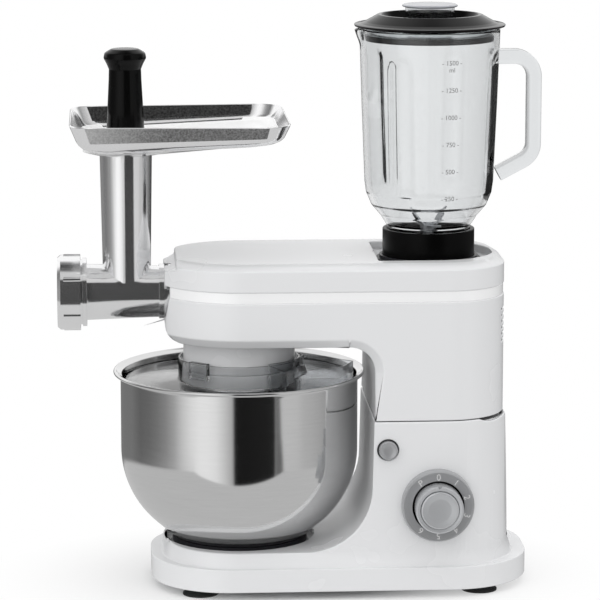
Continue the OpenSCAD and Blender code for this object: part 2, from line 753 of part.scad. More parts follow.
case_front = 43;
case_hw = 42;
module gearbox_case() color("silver") {
    difference() {
        union() {
            translate([-case_front, -case_hw, case_z]) cube([lay_x + case_front + 14, 2 * case_hw, case_t]);
            for (s = [-1, 1]) bar_z(case_z, pulley_z - 6, lay_x + 6, s * 32, 4.5);
            translate([lay_x - 12, -36, pulley_z - 6]) cube([26, 72, 3]);
            bar_z(pulley_z - 6, pulley_z - 1.5, lay_x, 0, 9);
        }
        bar_z(0, far, 0, 0, main_r + run);
        bar_z(0, far, lay_x, 0, 4 + run);
        for (x = case_screw_x, s = [-1, 1]) bar_z(0, far, x, s * 37, 1.9 + run);
    }
}

case_screw_x = [-38, 38];
module gearbox_screws() color("silver") for (x = case_screw_x, s = [-1, 1]) {
    bar_z(case_z + case_t, case_z + case_t + 2.2, x, s * 37, 3.6);
    bar_z(case_z - 2.5, case_z + case_t, x, s * 37, 1.9);
}

// ---------- arm hinge and latch ----------

lug_t = 6;
hinge_plate_z = pivot_z + 20;
module arm_hinge() color("slategray") {
    for (s = [-1, 1]) translate([0, s * (cheek_in - 2 - lug_t / 2), 0]) difference() {
        across(lug_t) {
            polygon([[pivot_x - 40, hinge_plate_z], [pivot_x - 40, pivot_z + 15], [pivot_x - 9, pivot_z - 3],
                     [pivot_x + 9, pivot_z - 3], [pivot_x + 9, hinge_plate_z]]);
            translate([pivot_x, pivot_z]) circle(pin_r + 4.4);
        }
        bar_y(-far, far, pivot_x, pivot_z, pin_r + run);
    }
    // cross plate that ties the lugs to the shell's side walls
    translate([pivot_x - 40, -arm_hw + wall + 1, hinge_plate_z - 3]) cube([9, 2 * (arm_hw - wall - 1), 3]);
}

module latch_striker() color("slategray") {
    translate([striker_x, striker_y, button_z - 2]) cube([striker_w, 2.5, head_z - 34 - button_z]);
    translate([tower_front + 1 + wall + gap, striker_y, head_z - 40])
        cube([striker_x + striker_w - tower_front - 1 - wall - gap, 12, 4]);
}

// ---------- motor ----------

stator_r = 37;
stator_z = 222;
stator_h = 36;
module motor_frame() color("silver") {
    for (z = [motor_low, motor_high]) difference() {
        union() {
            translate([jug_x - 11, -arm_hw + wall, z]) cube([22, 2 * (arm_hw - wall), 3]);
            bar_z(z - 1, z + 4, jug_x, 0, 12);
        }
        bar_z(0, far, jug_x, 0, 4 + run);
    }
    for (s = [-1, 1]) bar_z(motor_low, motor_high + 1, jug_x, s * 41, 4);
}

module motor_stator() color("slategray") difference() {
    bar_z(stator_z, stator_z + stator_h, jug_x, 0, stator_r);
    bar_z(0, far, jug_x, 0, 23);
    for (s = [-1, 1]) bar_z(0, far, jug_x, s * 41, 4);
    for (a = [0, 180]) rotate_at(a) translate([24.5, -13.6, stator_z - eps])
        cube([6.5, 27.2, stator_h + 2 * eps]);
}

module rotate_at(a) translate([jug_x, 0, 0]) rotate(a) children();

module field_coils() color("peru") for (a = [0, 180]) rotate_at(a)
    translate([24.5, -13.6, stator_z - 6]) cube([6.5, 27.2, stator_h + 12]);

brush_in = 13.1;
brush_z = stator_z + 42;
module carbon_brushes() color("dimgray") for (s = [-1, 1])
    translate([jug_x - 4, s > 0 ? brush_in : -stator_r, brush_z]) cube([8, stator_r - brush_in, 7]);

module motor_shaft() color("silver") bar_z(motor_low - 6, recess_z + 6, jug_x, 0, 4);

module rotor_core() color("slategray") difference() {
    union() {
        bar_z(stator_z + 2, stator_z + stator_h - 2, jug_x, 0, 22.4);
        bar_z(stator_z - 4, stator_z + stator_h + 4, jug_x, 0, 18);
    }
    bar_z(0, far, jug_x, 0, 4);
    for (i = [0:11]) rotate_at(30 * i) translate([21, -1, 0]) cube([4, 2, far]);
}

module commutator() color("peru") difference() {
    bar_z(brush_z - 1.5, brush_z + 11, jug_x, 0, brush_in - 0.1);
    bar_z(0, far, jug_x, 0, 4);
}

fan_z = motor_low + 9;
module cooling_fan() color("ivory") difference() {
    union() {
        bar_z(fan_z, fan_z + 2, jug_x, 0, 34);
        bar_z(fan_z, fan_z + 14, jug_x, 0, 9);
        for (i = [0:8]) rotate_at(40 * i) translate([8, -0.9, fan_z + 1]) cube([25, 1.8, 8]);
    }
    bar_z(0, far, jug_x, 0, 4);
}

module motor_pulley() color("dimgray") translate([jug_x, 0, pulley_z]) pulley(small_pulley_r, 4);

module jug_drive_dog() color("dimgray") difference() {
    union() {
        bar_z(recess_z - 4, recess_z + 2, jug_x, 0, 12);
        for (i = [0:5]) rotate_at(60 * i) translate([5.5, -1.6, recess_z + 1]) cube([6, 3.2, 7]);
    }
    bar_z(0, far, jug_x, 0, 4);
}

// ---------- splash guard ----------

guard_r = bowl_r - steel - 3;
guard_ring = 58.5;
chute_in = 63;
chute_out = 107;
chute_from = -64;
chute_to = -12;
chute_top = guard_z + 26;
module sector(r0, r1, a0, a1) polygon(concat(arc(0, 0, r1, a0, a1, 16), arc(0, 0, r0, a1, a0, 12)));
module splash_guard() color("lightcyan", 0.4) {
    difference() {
        union() {
            bar_z(guard_z, guard_z + clear_wall, 0, 0, guard_r);
            difference() {
                bar_z(guard_z - 5, guard_z + 0.5, 0, 0, guard_r);
                bar_z(guard_z - 6, guard_z + 1, 0, 0, guard_r - clear_wall);
            }
            bar_z(guard_z, collar_z + 9, 0, 0, guard_ring);
            translate([0, 0, guard_z]) linear_extrude(chute_top - guard_z)
                sector(chute_in - clear_wall, chute_out, chute_from, chute_to);
            rotate(-131) translate([guard_ring - 3, -11, guard_z + 11]) cube([6, 22, 15]);
        }
        bar_z(0, far, 0, 0, collar_r + gap);
        translate([0, 0, guard_z - eps]) linear_extrude(far)
            sector(chute_in, chute_out - clear_wall, chute_from + 1.6, chute_to - 1.6);
    }
    // shelf that the collar's lower end sits on
    difference() {
        bar_z(guard_z, collar_z - gap, 0, 0, collar_r + 1);
        bar_z(0, far, 0, 0, collar_r - 4);
    }
}

// ---------- grinder ----------

barrel_r = 27;
barrel_r2 = 24.5;
barrel_bore = 21.5;
barrel_front = nut_front + 12;
barrel_rear = arm_front - 7.5;
thread_r = 31;
feed_low_r = 22.5;
feed_top_r = 24.8;
module grinder_body() color("silver") difference() {
    union() {
        translate([barrel_front + 8, 0, hub_z]) rotate([0, 90, 0])
            cylinder(r1 = barrel_r, r2 = barrel_r2, h = barrel_rear - barrel_front - 8);
        bar_x(barrel_front, barrel_front + 12, 0, hub_z, thread_r);
        bar_x(barrel_front + 12, barrel_front + 16, 0, hub_z, thread_r + 1.6);
        bar_x(barrel_rear - 2, barrel_rear + 3, 0, hub_z, barrel_r2 + 1.6);
        bar_x(barrel_rear, neck_end, 0, hub_z, neck_r);
        translate([feed_x, 0, hub_z]) cylinder(r1 = feed_low_r, r2 = feed_top_r, h = feed_top - hub_z);
    }
    bar_x(barrel_front - eps, barrel_rear - 10, 0, hub_z, barrel_bore);
    bar_x(-far, 0, 0, hub_z, 8 + run);
    bar_x(hub_shaft_end - 2, 0, 0, hub_z, hub_shaft_r + 1);
    bar_z(hub_z, far * 2, feed_x, 0, feed_bore);
    bar_z(feed_top - 13, far * 2, feed_x, 0, feed_bore + 3.2);
}

plate_r = barrel_bore + 6;
module grinder_plate() color("lightgray") difference() {
    bar_x(barrel_front - 5.2, barrel_front - 0.2, 0, hub_z, plate_r);
    bar_x(-far, 0, 0, hub_z, 4 + run);
    for (ring = [[6, 9.5], [12, 15], [16, 20.3]], i = [0:ring[0] - 1])
        translate([-far / 2, 0, hub_z]) rotate([360 / ring[0] * i, 0, 0]) translate([0, 0, ring[1]])
            rotate([0, 90, 0]) cylinder(r = 1.9, h = far / 2);
}

module ring_nut() color("silver") difference() {
    union() {
        bar_x(nut_front + 3, nut_front + nut_len, 0, hub_z, nut_r);
        translate([nut_front, 0, hub_z]) rotate([0, 90, 0]) cylinder(r1 = nut_r - 2.5, r2 = nut_r, h = 3);
        for (i = [0:5]) translate([0, 0, hub_z]) rotate([60 * i, 0, 0])
            bar_x(nut_front + 6, nut_front + nut_len, 0, nut_r - 1.2, 2.6);
    }
    bar_x(-far, 0, 0, hub_z, barrel_bore + 2.5);
    bar_x(nut_front + 5, 0, 0, hub_z, thread_r + 0.3);
}

drive_hex = 6.5;
screw_core = 7;
screw_r = barrel_bore - 0.6;
screw_from = barrel_front + 5;
screw_to = barrel_rear - 14;
module feed_screw() color("silver") {
    bar_x(screw_from, screw_to, 0, hub_z, screw_core);
    translate([screw_from + 1, 0, hub_z]) rotate([0, 90, 0])
        linear_extrude(screw_to - screw_from - 2, twist = -900, slices = 60, segments = 8)
            translate([0, -1.7]) square([screw_r, 3.4]);
    bar_x(screw_to - 1, hub_shaft_end - gap, 0, hub_z, 8);
    translate([hub_shaft_end - 1, 0, hub_z]) rotate([0, 90, 0]) cylinder(r = drive_hex, h = 11.5, $fn = 6);
    bar_x(barrel_front - 5, screw_from, 0, hub_z, 4);
}

module grinder_knife() color("lightgray") difference() {
    union() {
        bar_x(barrel_front - 0.1 + gap, barrel_front + 4.8, 0, hub_z, 7);
        for (i = [0:3]) translate([barrel_front - 0.1 + gap, 0, hub_z]) rotate([90 * i, 0, 0])
            translate([0, -2.2, 4]) cube([3, 4.4, barrel_bore - 5.5]);
    }
    bar_x(-far, 0, 0, hub_z, 4);
}

tray_front = nut_front + 13.5;
tray_back = 46;
tray_wall = 1.8;
tray_corner = 24;
tray_hw_front = 86;
tray_hw_rear = 98;
tray_deep_front = 21;
tray_deep_rear = 17;
tray_floor = 2.4;
module tray_slab(x0, x1, w0, w1, r, z) translate([0, 0, z]) linear_extrude(1)
    for (e = [[x0 + r, w0 - r], [x1 - r, w1 - r]], s = [-1, 1])
        translate([e[0], s * e[1]]) circle(r, $fn = 32);
module hopper_tray() color("silver") {
    difference() {
        hull() {
            tray_slab(tray_front, tray_back, tray_hw_front, tray_hw_rear, tray_corner, tray_z - 1);
            tray_slab(tray_front + 5, tray_front + 70, tray_hw_front - 4, tray_hw_front, tray_corner,
                tray_z - tray_deep_front);
            tray_slab(tray_back - 60, tray_back - 3, tray_hw_rear - 8, tray_hw_rear - 4, tray_corner - 2,
                tray_z - tray_deep_rear);
            bar_z(feed_top, feed_top + 1, feed_x, 0, 34, $fn = 32);
        }
        hull() {
            tray_slab(tray_front + tray_wall, tray_back - tray_wall, tray_hw_front - tray_wall,
                tray_hw_rear - tray_wall, tray_corner - 1, tray_z);
            tray_slab(tray_front + 7, tray_front + 68, tray_hw_front - 6, tray_hw_front - 2, tray_corner - 1,
                tray_z - tray_deep_front + tray_floor);
            tray_slab(tray_back - 60, tray_back - 5, tray_hw_rear - 10, tray_hw_rear - 6, tray_corner - 3,
                tray_z - tray_deep_rear + tray_floor);
            bar_z(feed_top + 3, feed_top + 4, feed_x, 0, 33, $fn = 32);
        }
        bar_z(0, 2 * far, feed_x, 0, feed_bore);
    }
    difference() {
        bar_z(feed_top - 12, feed_top + 1, feed_x, 0, feed_bore + 3);
        bar_z(0, 2 * far, feed_x, 0, feed_bore);
    }
}

pusher_low = hub_z + screw_r + gap;
module food_pusher() color("black") translate([feed_x, 0, 0]) rotate_extrude() polygon(concat(
    [[0, pusher_low], [feed_bore - 1.4, pusher_low], [feed_bore - gap, pusher_low + 1],
     [feed_bore - gap, feed_top - 20], [feed_bore - 1.2, tray_z - 8],
     [15.5, pusher_top - 26], [15.3, pusher_top - 20]],
    arc(14.5, pusher_top - 9, 5.8, -80, 80, 8), [[10, pusher_top - 1.4], [0, pusher_top]]));

// ---------- blender jug ----------

jug_low = recess_z + gap;
glass_low = jug_low + 16;
function glass_out(t) = [
    [39.5 - t, glass_low], [39.5 - t, jug_collar_z + 3], [45 - t, jug_collar_z + 12],
    [54 - t, jug_collar_z + 22], [59.5 - t, jug_collar_z + 33], [61.5 - t, jug_collar_z + 46],
    [64.5 - t, jug_collar_z + 120], [glass_r - t, glass_z]];
module jug_glass() color("lightcyan", 0.35) {
    difference() {
        translate([jug_x, 0, 0]) {
            rotate_extrude($fn = 96) polygon(concat([[0, glass_low]], glass_out(0), [[0, glass_z]]));
            // pouring spout, opposite the handle
            translate([-glass_r - 0.5, 0, glass_z - 16]) cylinder(r1 = 1, r2 = 7, h = 16);
        }
        translate([jug_x, 0, 0]) rotate_extrude($fn = 96) polygon(concat(
            [[0, glass_low - eps]],
            [for (p = glass_out(glass_t)) [p[0], p[1] - (p[1] < glass_low + 1 ? eps : 0)]],
            [[glass_r - glass_t, glass_z + eps], [0, glass_z + eps]]));
    }
    handle();
}

handle_t = 14;
module handle() difference() {
    across(handle_w) difference() {
        polygon(concat(
            [[jug_x + 62.5, glass_z - 20]], arc(handle_x - 26, glass_z - 40, 26, 80, 0, 8),
            [[handle_x, glass_z - 112]], arc(handle_x - 26, glass_z - 112, 26, 0, -62, 8),
            [[jug_x + 60, jug_collar_z + 38]]));
        polygon(concat(
            [[jug_x + 60, glass_z - 20 - handle_t]], arc(handle_x - 28, glass_z - 46, 14, 80, 0, 8),
            [[handle_x - handle_t, glass_z - 106]], arc(handle_x - 28, glass_z - 108, 14, 0, -62, 8),
            [[jug_x + 58, jug_collar_z + 38 + handle_t]]));
    }
    translate([jug_x, 0, 0]) rotate_extrude($fn = 96)
        polygon(concat([[0, glass_low]], glass_out(0.8), [[0, glass_z]]));
}

blade_z = jug_collar_z + 3;
module jug_collar() color("black") difference() {
    union() {
        bar_z(jug_low, jug_collar_z, jug_x, 0, jug_collar_r);
        bar_z(recess_z + 2.3, recess_z + 5, jug_x, 0, jug_collar_r);
    }
    bar_z(glass_low - gap, far, jug_x, 0, 39.5 + gap);
    bar_z(0, glass_low - 4, jug_x, 0, 30);
    bar_z(0, far, jug_x, 0, 5 + run);
}

module blade(a, lift, len)
rotate_at(a) translate([5, 0, blade_z]) rotate([0, -lift, 0]) translate([0, 0, -0.8])
    linear_extrude(1.6) polygon([[0, -5], [len * 0.6, -5.5], [len, -1], [len * 0.55, 4.5], [0, 5]]);
module jug_blades() color("lightgray") {
    bar_z(glass_low - 6, blade_z + 4, jug_x, 0, 5);
    bar_z(blade_z - 2, blade_z + 3, jug_x, 0, 8);
    for (k = [[20, 52, 22], [200, 52, 22], [110, 8, 24], [290, 8, 24]]) blade(k[0], k[1], k[2]);
    difference() {
        bar_z(recess_z + 4, glass_low - 5, jug_x, 0, 14);
        bar_z(0, recess_z + 9, jug_x, 0, 12.8);
    }
    for (i = [0:5]) rotate_at(60 * i + 30) translate([8.6, -1.2, recess_z + 4.2]) cube([4.6, 2.4, 5]);
}

lid_z = glass_z + gap;
cap_r = 26;
module jug_lid() color("black") difference() {
    translate([jug_x, 0, 0]) rotate_extrude($fn = 96) polygon([
        [22, lid_z - 13], [glass_r - glass_t - 1, lid_z - 13], [glass_r - glass_t - 1, lid_z],
        [glass_r + 4.5, lid_z], [glass_r + 5, lid_z + 2.5], [glass_r - 5, lid_z + 8], [49, lid_z + 13],
        [46, lid_z + 13], [42, lid_z + 6], [22, lid_z + 6]]);
    translate([jug_x, 0, 0]) rotate_extrude($fn = 96) polygon([
        [24.5, lid_z - 14], [glass_r - glass_t - 4, lid_z - 14], [glass_r - glass_t - 4, lid_z + 4],
        [47, lid_z + 9], [43.5, lid_z + 3], [24.5, lid_z + 3]]);
}

cap_top = 556.8;
module filler_cap() color("lightgray") {
    difference() {
        bar_z(lid_z - 14, cap_top - 4, jug_x, 0, 21.6);
        bar_z(0, cap_top - 6, jug_x, 0, 19.4);
    }
    translate([jug_x, 0, cap_top - 5]) cylinder(r1 = cap_r - 3, r2 = cap_r, h = 2);
    translate([jug_x, 0, cap_top - 3]) cylinder(r1 = cap_r, r2 = cap_r - 3, h = 3);
}

// ---------- the nodes ----------

to_frame() {
    base_shell();
    base_plate();
    base_screws();
    suction_feet();
    bowl_seat();
    dial_scale_ring();
    speed_switch();
    control_board();
    hinge_bracket();
    hinge_pin();
    cord_inlet();
    bowl();
    bowl_foot();
    speed_knob();
    knob_cap();
    release_button();
    latch_bolt();
    head_shell();
    top_cover();
    trim_band();
    hub_socket();
    jug_socket();
    drive_collar();
    ring_gear();
    gearbox_case();
    gearbox_screws();
    arm_hinge();
    latch_striker();
    drive_belt();
    motor_frame();
    motor_stator();
    field_coils();
    carbon_brushes();
    motor_shaft();
    rotor_core();
    commutator();
    cooling_fan();
    motor_pulley();
    jug_drive_dog();
    layshaft();
    layshaft_pulley();
    main_shaft();
    main_gear();
    planet_carrier();
    tool_shaft();
    planet_gear();
    hub_drive_shaft();
    splash_guard();
    grinder_body();
    grinder_plate();
    ring_nut();
    feed_screw();
    grinder_knife();
    hopper_tray();
    food_pusher();
    jug_glass();
    jug_collar();
    jug_blades();
    jug_lid();
    filler_cap();
}
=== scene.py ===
import json
import math

import bpy
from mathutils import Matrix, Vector

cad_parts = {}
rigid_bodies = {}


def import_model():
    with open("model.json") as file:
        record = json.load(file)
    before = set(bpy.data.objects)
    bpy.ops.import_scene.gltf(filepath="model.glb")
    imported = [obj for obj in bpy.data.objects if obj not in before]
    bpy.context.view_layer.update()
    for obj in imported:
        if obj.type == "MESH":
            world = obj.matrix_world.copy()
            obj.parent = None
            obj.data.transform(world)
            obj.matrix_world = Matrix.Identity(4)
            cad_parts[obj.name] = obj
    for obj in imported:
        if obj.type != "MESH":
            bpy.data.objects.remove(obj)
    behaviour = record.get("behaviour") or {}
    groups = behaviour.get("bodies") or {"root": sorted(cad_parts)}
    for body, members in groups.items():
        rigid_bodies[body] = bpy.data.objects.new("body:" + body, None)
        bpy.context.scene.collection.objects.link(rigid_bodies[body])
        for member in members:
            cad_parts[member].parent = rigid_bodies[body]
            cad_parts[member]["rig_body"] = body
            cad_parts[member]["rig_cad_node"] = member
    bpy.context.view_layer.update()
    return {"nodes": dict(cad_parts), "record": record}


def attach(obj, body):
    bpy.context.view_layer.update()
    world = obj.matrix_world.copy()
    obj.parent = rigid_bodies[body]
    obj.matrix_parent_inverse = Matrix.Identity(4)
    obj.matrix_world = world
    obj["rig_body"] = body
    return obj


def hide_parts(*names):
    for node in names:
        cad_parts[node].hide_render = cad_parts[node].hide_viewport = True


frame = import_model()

print("frame loaded")

# Lengths below are millimetres in the machine's own axes, where the bowl's axis is x = 0, y = 0.
frameShift = -57.75
jugAxis = 182
feedAxis = -107
towerSide = -83


def at(x, y, z):
    return Vector(((x + frameShift) / 1000, y / 1000, z / 1000))


# small helpers for modelling


def deselectAll():
    if bpy.context.object and bpy.context.object.mode != "OBJECT":
        bpy.ops.object.mode_set(mode="OBJECT")
    bpy.ops.object.select_all(action="DESELECT")


def pick(piece):
    deselectAll()
    piece.hide_set(False)
    piece.select_set(True)
    bpy.context.view_layer.objects.active = piece


def openMesh(piece, mode="VERT"):
    pick(piece)
    bpy.ops.object.mode_set(mode="EDIT")
    bpy.ops.mesh.select_mode(type=mode)


def closeMesh():
    bpy.ops.object.mode_set(mode="OBJECT")


def smooth(piece, angle=35):
    pick(piece)
    bpy.ops.object.shade_smooth_by_angle(angle=math.radians(angle))


def fillet(points, closed=False, steps=4):
    # a corner written as (r, h, radius) becomes a small curve
    out = []
    count = len(points)
    for i, point in enumerate(points):
        here = Vector(point[:2])
        if len(point) < 3 or (not closed and i in (0, count - 1)):
            out.append(tuple(here))
            continue
        back = Vector(points[i - 1][:2]) - here
        ahead = Vector(points[(i + 1) % count][:2]) - here
        half = back.angle(ahead) / 2
        reach = min(point[2] / max(math.tan(half), 0.05), 0.48 * back.length, 0.48 * ahead.length)
        start, end = here + back.normalized() * reach, here + ahead.normalized() * reach
        for k in range(steps + 1):
            t = k / steps
            out.append(tuple(start * (1 - t) ** 2 + here * 2 * t * (1 - t) + end * t * t))
    return out


def arc(cx, cy, radius, first, last, steps=8):
    turns = [math.radians(first + (last - first) * k / steps) for k in range(steps + 1)]
    return [(cx + radius * math.cos(t), cy + radius * math.sin(t)) for t in turns]


def spreadOut(points, count):
    # the same closed line with its points at even distances
    lengths = [math.dist(a, b) for a, b in zip(points, points[1:] + points[:1])]
    whole, out, edge, passed = sum(lengths), [], 0, 0
    for k in range(count):
        goal = whole * k / count
        while passed + lengths[edge] < goal:
            passed += lengths[edge]
            edge += 1
        a, b = points[edge], points[(edge + 1) % len(points)]
        share = (goal - passed) / lengths[edge]
        out.append(tuple(p + (q - p) * share for p, q in zip(a, b)))
    return out


def drawLine(name, points, closed=False):
    # one vertex, extruded from point to point
    deselectAll()
    bpy.ops.mesh.primitive_plane_add(size=0.001)
    piece = bpy.context.object
    piece.name = piece.data.name = name
    bpy.ops.object.mode_set(mode="EDIT")
    bpy.ops.mesh.select_mode(type="VERT")
    bpy.ops.mesh.select_all(action="SELECT")
    bpy.ops.mesh.merge(type="CENTER")
    bpy.ops.transform.translate(value=points[0])
    run = list(points) + ([points[0]] if closed else [])
    for a, b in zip(run, run[1:]):
        bpy.ops.mesh.extrude_region_move(TRANSFORM_OT_translate={"value": b - a})
    bpy.ops.mesh.select_all(action="SELECT")
    if closed:
        bpy.ops.mesh.remove_doubles(threshold=1e-6)
    return piece


def loftPiece(name, loops, angle=35, joined=True):
    # the first loop is drawn, then extruded again and again onto the next loops
    piece = drawLine(name, loops[0], True)
    for before, after in zip(loops, loops[1:]):
        bpy.ops.mesh.extrude_region_move(TRANSFORM_OT_translate={"value": (0, 0, 0)})
        closeMesh()
        for vertex in piece.data.vertices:
            if vertex.select:
                nearest = min(range(len(before)), key=lambda k: (before[k] - vertex.co).length_squared)
                vertex.co = after[nearest]
        bpy.ops.object.mode_set(mode="EDIT")
    bpy.ops.mesh.select_all(action="SELECT")
    if joined:
        bpy.ops.mesh.remove_doubles(threshold=1e-6)
    bpy.ops.mesh.normals_make_consistent(inside=False)
    closeMesh()
    smooth(piece, angle)
    return piece


outward = {"z": Vector((1, 0, 0)), "x": Vector((0, 0, 1)), "y": Vector((0, 0, 1))}
along = {"z": Vector((0, 0, 1)), "x": Vector((1, 0, 0)), "y": Vector((0, -1, 0))}


def spinPiece(name, profile, centre, axis="z", closed=True, steps=96, angle=35):
    # profile: (radius, height) along the axis; "y" counts heights towards the front side, -Y
    points = [centre + outward[axis] * (r / 1000) + along[axis] * (h / 1000) for r, h in profile]
    piece = drawLine(name, points, closed)
    bpy.ops.mesh.spin(steps=steps, angle=2 * math.pi, center=centre, axis=along[axis])
    bpy.ops.mesh.select_all(action="SELECT")
    bpy.ops.mesh.remove_doubles(threshold=2e-6)
    bpy.ops.mesh.normals_make_consistent(inside=False)
    closeMesh()
    smooth(piece, angle)
    return piece


def applyAll(piece):
    pick(piece)
    for modifier in list(piece.modifiers):
        bpy.ops.object.modifier_apply(modifier=modifier.name)


def bevelEdges(piece, width, segments=3, angle=32, clamp=False):
    modifier = piece.modifiers.new("softEdges", "BEVEL")
    modifier.width = width / 1000
    modifier.segments = segments
    modifier.limit_method = "ANGLE"
    modifier.angle_limit = math.radians(angle)
    modifier.use_clamp_overlap = clamp
    modifier.miter_outer = "MITER_ARC"
    weights = piece.modifiers.new("faceNormals", "WEIGHTED_NORMAL")
    weights.keep_sharp = True
    applyAll(piece)


def softenedCopy(node, name, width, segments=3, angle=32, smoothAngle=40, clamp=False):
    # the CAD node's own shape with its edges eased
    pick(frame["nodes"][node])
    bpy.ops.object.duplicate()
    piece = bpy.context.object
    piece.name = piece.data.name = name
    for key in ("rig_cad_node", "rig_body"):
        if key in piece:
            del piece[key]
    piece.parent = None
    piece.data.materials.clear()
    openMesh(piece)
    bpy.ops.mesh.select_all(action="SELECT")
    bpy.ops.mesh.remove_doubles(threshold=1e-5)
    bpy.ops.mesh.dissolve_limited(angle_limit=math.radians(1.2))
    closeMesh()
    smooth(piece, smoothAngle)
    bevelEdges(piece, width, segments, angle, clamp)
    return piece


def mergeInto(piece, other, operation="UNION"):
    cut = piece.modifiers.new("merge", "BOOLEAN")
    cut.operation = operation
    cut.solver = "EXACT"
    cut.object = other
    applyAll(piece)
    bpy.data.objects.remove(other)


def finishPiece(piece, body, material, slot, *nodes):
    piece.data.materials.clear()
    piece.data.materials.append(material)
    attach(piece, body)
    if nodes:
        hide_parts(*nodes)
    return piece


def textMesh(name, words, size, thickness=0.12):
    deselectAll()
    bpy.ops.object.text_add()
    text = bpy.context.object
    text.data.body = words
    text.data.size = size / 1000
    text.data.extrude = thickness / 2000
    text.data.align_x = "CENTER"
    text.data.align_y = "CENTER"
    text.data.resolution_u = 4
    bpy.ops.object.convert(target="MESH")
    piece = bpy.context.object
    piece.name = piece.data.name = name
    return piece


def standUp(piece, place, turn=0, lean=0):
    # what is drawn flat is stood up to face -Y, leant back by lean, turned about Z and put at its place
    piece.rotation_euler = (math.radians(90 + lean), 0, 0)
    pick(piece)
    bpy.ops.object.transform_apply(location=True, rotation=True, scale=True)
    piece.rotation_euler = (0, 0, math.radians(turn))
    piece.location = place
    bpy.ops.object.transform_apply(location=True, rotation=True, scale=True)


# small helpers for materials


class Wire:
    # a node's output that can stand in a sum
    def __init__(self, recipe, socket):
        self.recipe = recipe
        self.socket = socket

    def join(self, operation, first, second):
        return self.recipe.node("Math", {"operation": operation}, {0: first, 1: second})

    def __add__(self, other):
        return self.join("ADD", self, other)

    def __radd__(self, other):
        return self.join("ADD", other, self)

    def __sub__(self, other):
        return self.join("SUBTRACT", self, other)

    def __rsub__(self, other):
        return self.join("SUBTRACT", other, self)

    def __mul__(self, other):
        return self.join("MULTIPLY", self, other)

    def __rmul__(self, other):
        return self.join("MULTIPLY", other, self)

    def __truediv__(self, other):
        return self.join("DIVIDE", self, other)


class Recipe:
    # the node tree of a material or of the world
    def __init__(self, owner, surface, coordinates):
        owner.use_nodes = True
        self.owner = owner
        self.tree = owner.node_tree
        self.surface = self.tree.nodes[surface]
        self.place = self.node("TexCoord", output=coordinates)

    def feed(self, socket, value):
        if isinstance(value, Wire):
            self.tree.links.new(value.socket, socket)
        elif isinstance(value, tuple) and len(value) == 3 and socket.type == "RGBA":
            socket.default_value = (*value, 1)
        else:
            socket.default_value = value

    def node(self, kind, settings=None, inputs=None, output=0):
        made = self.tree.nodes.new("ShaderNode" + kind)
        for key, value in (settings or {}).items():
            if key == "stops":
                stops = made.color_ramp.elements
                while len(stops) < len(value):
                    stops.new(0.5)
                for stop, (place, shade) in zip(stops, value):
                    stop.position = place
                    stop.color = (shade, shade, shade, 1)
            else:
                setattr(made, key, value)
        for key, value in (inputs or {}).items():
            self.feed(made.inputs[key], value)
        return Wire(self, made.outputs[output])

    def noise(self, scale, detail=2, stretch=None, roughness=0.5):
        place = self.place
        if stretch:
            place = self.node("VectorMath", {"operation": "MULTIPLY"}, {0: self.place, 1: stretch})
        inputs = {"Vector": place, "Scale": scale, "Detail": detail, "Roughness": roughness}
        return self.node("TexNoise", None, inputs)

    def ramp(self, value, *stops):
        return self.node("ValToRGB", {"stops": stops}, {0: value})

    def step(self, value, edge, width):
        span = {"Value": value, "From Min": edge - width, "From Max": edge + width}
        return self.node("MapRange", {"interpolation_type": "SMOOTHSTEP"}, span)

    def split(self):
        apart = self.node("SeparateXYZ", None, {0: self.place}).socket.node
        return [Wire(self, apart.outputs[k]) for k in range(3)]

    def mix(self, factor, first, second):
        return self.node("Mix", {"data_type": "RGBA"}, {0: factor, 6: first, 7: second}, output=2)

    def use(self, **sockets):
        for socket, value in sockets.items():
            self.feed(self.surface.inputs[socket.replace("_", " ")], value)
        return self

    def bump(self, height, distance, strength=1.0):
        # distance in millimetres
        normal = self.node("Bump", None, {"Height": height, "Distance": distance / 1000, "Strength": strength})
        return self.use(Normal=normal)


def newPaint(name, **plain):
    return Recipe(bpy.data.materials.new(name), "Principled BSDF", "Object").use(**plain)


def grey(value):
    return (value, value, value)


def shaded(colour, share):
    return tuple(min(1.0, c * share) for c in colour)


def mouldedPlastic(name, colour, roughness=0.3, cloud=0.02, grain=0.012, **plain):
    # faint cloudiness, a little uneven gloss and a fine orange-peel skin
    recipe = newPaint(name, **plain)
    drift = recipe.noise(9, 3)
    skin = recipe.noise(900, 2)
    recipe.use(
        Base_Color=recipe.mix(skin, shaded(colour, 1 - 4 * cloud), colour),
        Roughness=roughness * 0.94 + drift * (roughness * 0.12),
    )
    return recipe.bump(skin, grain, 0.6).owner


def metal(name, colour, roughness, grain=0.01, scale=500, spread=0.3, metallic=1.0):
    recipe = newPaint(name, Metallic=metallic)
    drift = recipe.noise(14, 4)
    skin = recipe.noise(scale, 3)
    recipe.use(
        Base_Color=recipe.mix(drift, shaded(colour, 0.92), colour),
        Roughness=roughness * (1 - spread / 2) + skin * (roughness * spread),
    )
    return recipe.bump(skin, grain, 0.7).owner


def turnedSteel():
    # fine turning lines round the bowl, with a few stronger ones
    recipe = newPaint("turnedSteel", Metallic=1.0)
    fine = recipe.noise(60, 2, (1, 1, 90))
    broad = recipe.noise(30, 3, (1, 1, 16))
    lines = fine * 0.65 + broad * 0.35
    recipe.use(Base_Color=recipe.mix(lines, grey(0.66), grey(0.79)), Roughness=0.05 + lines * 0.08)
    return recipe.bump(lines, 0.012, 0.5).owner


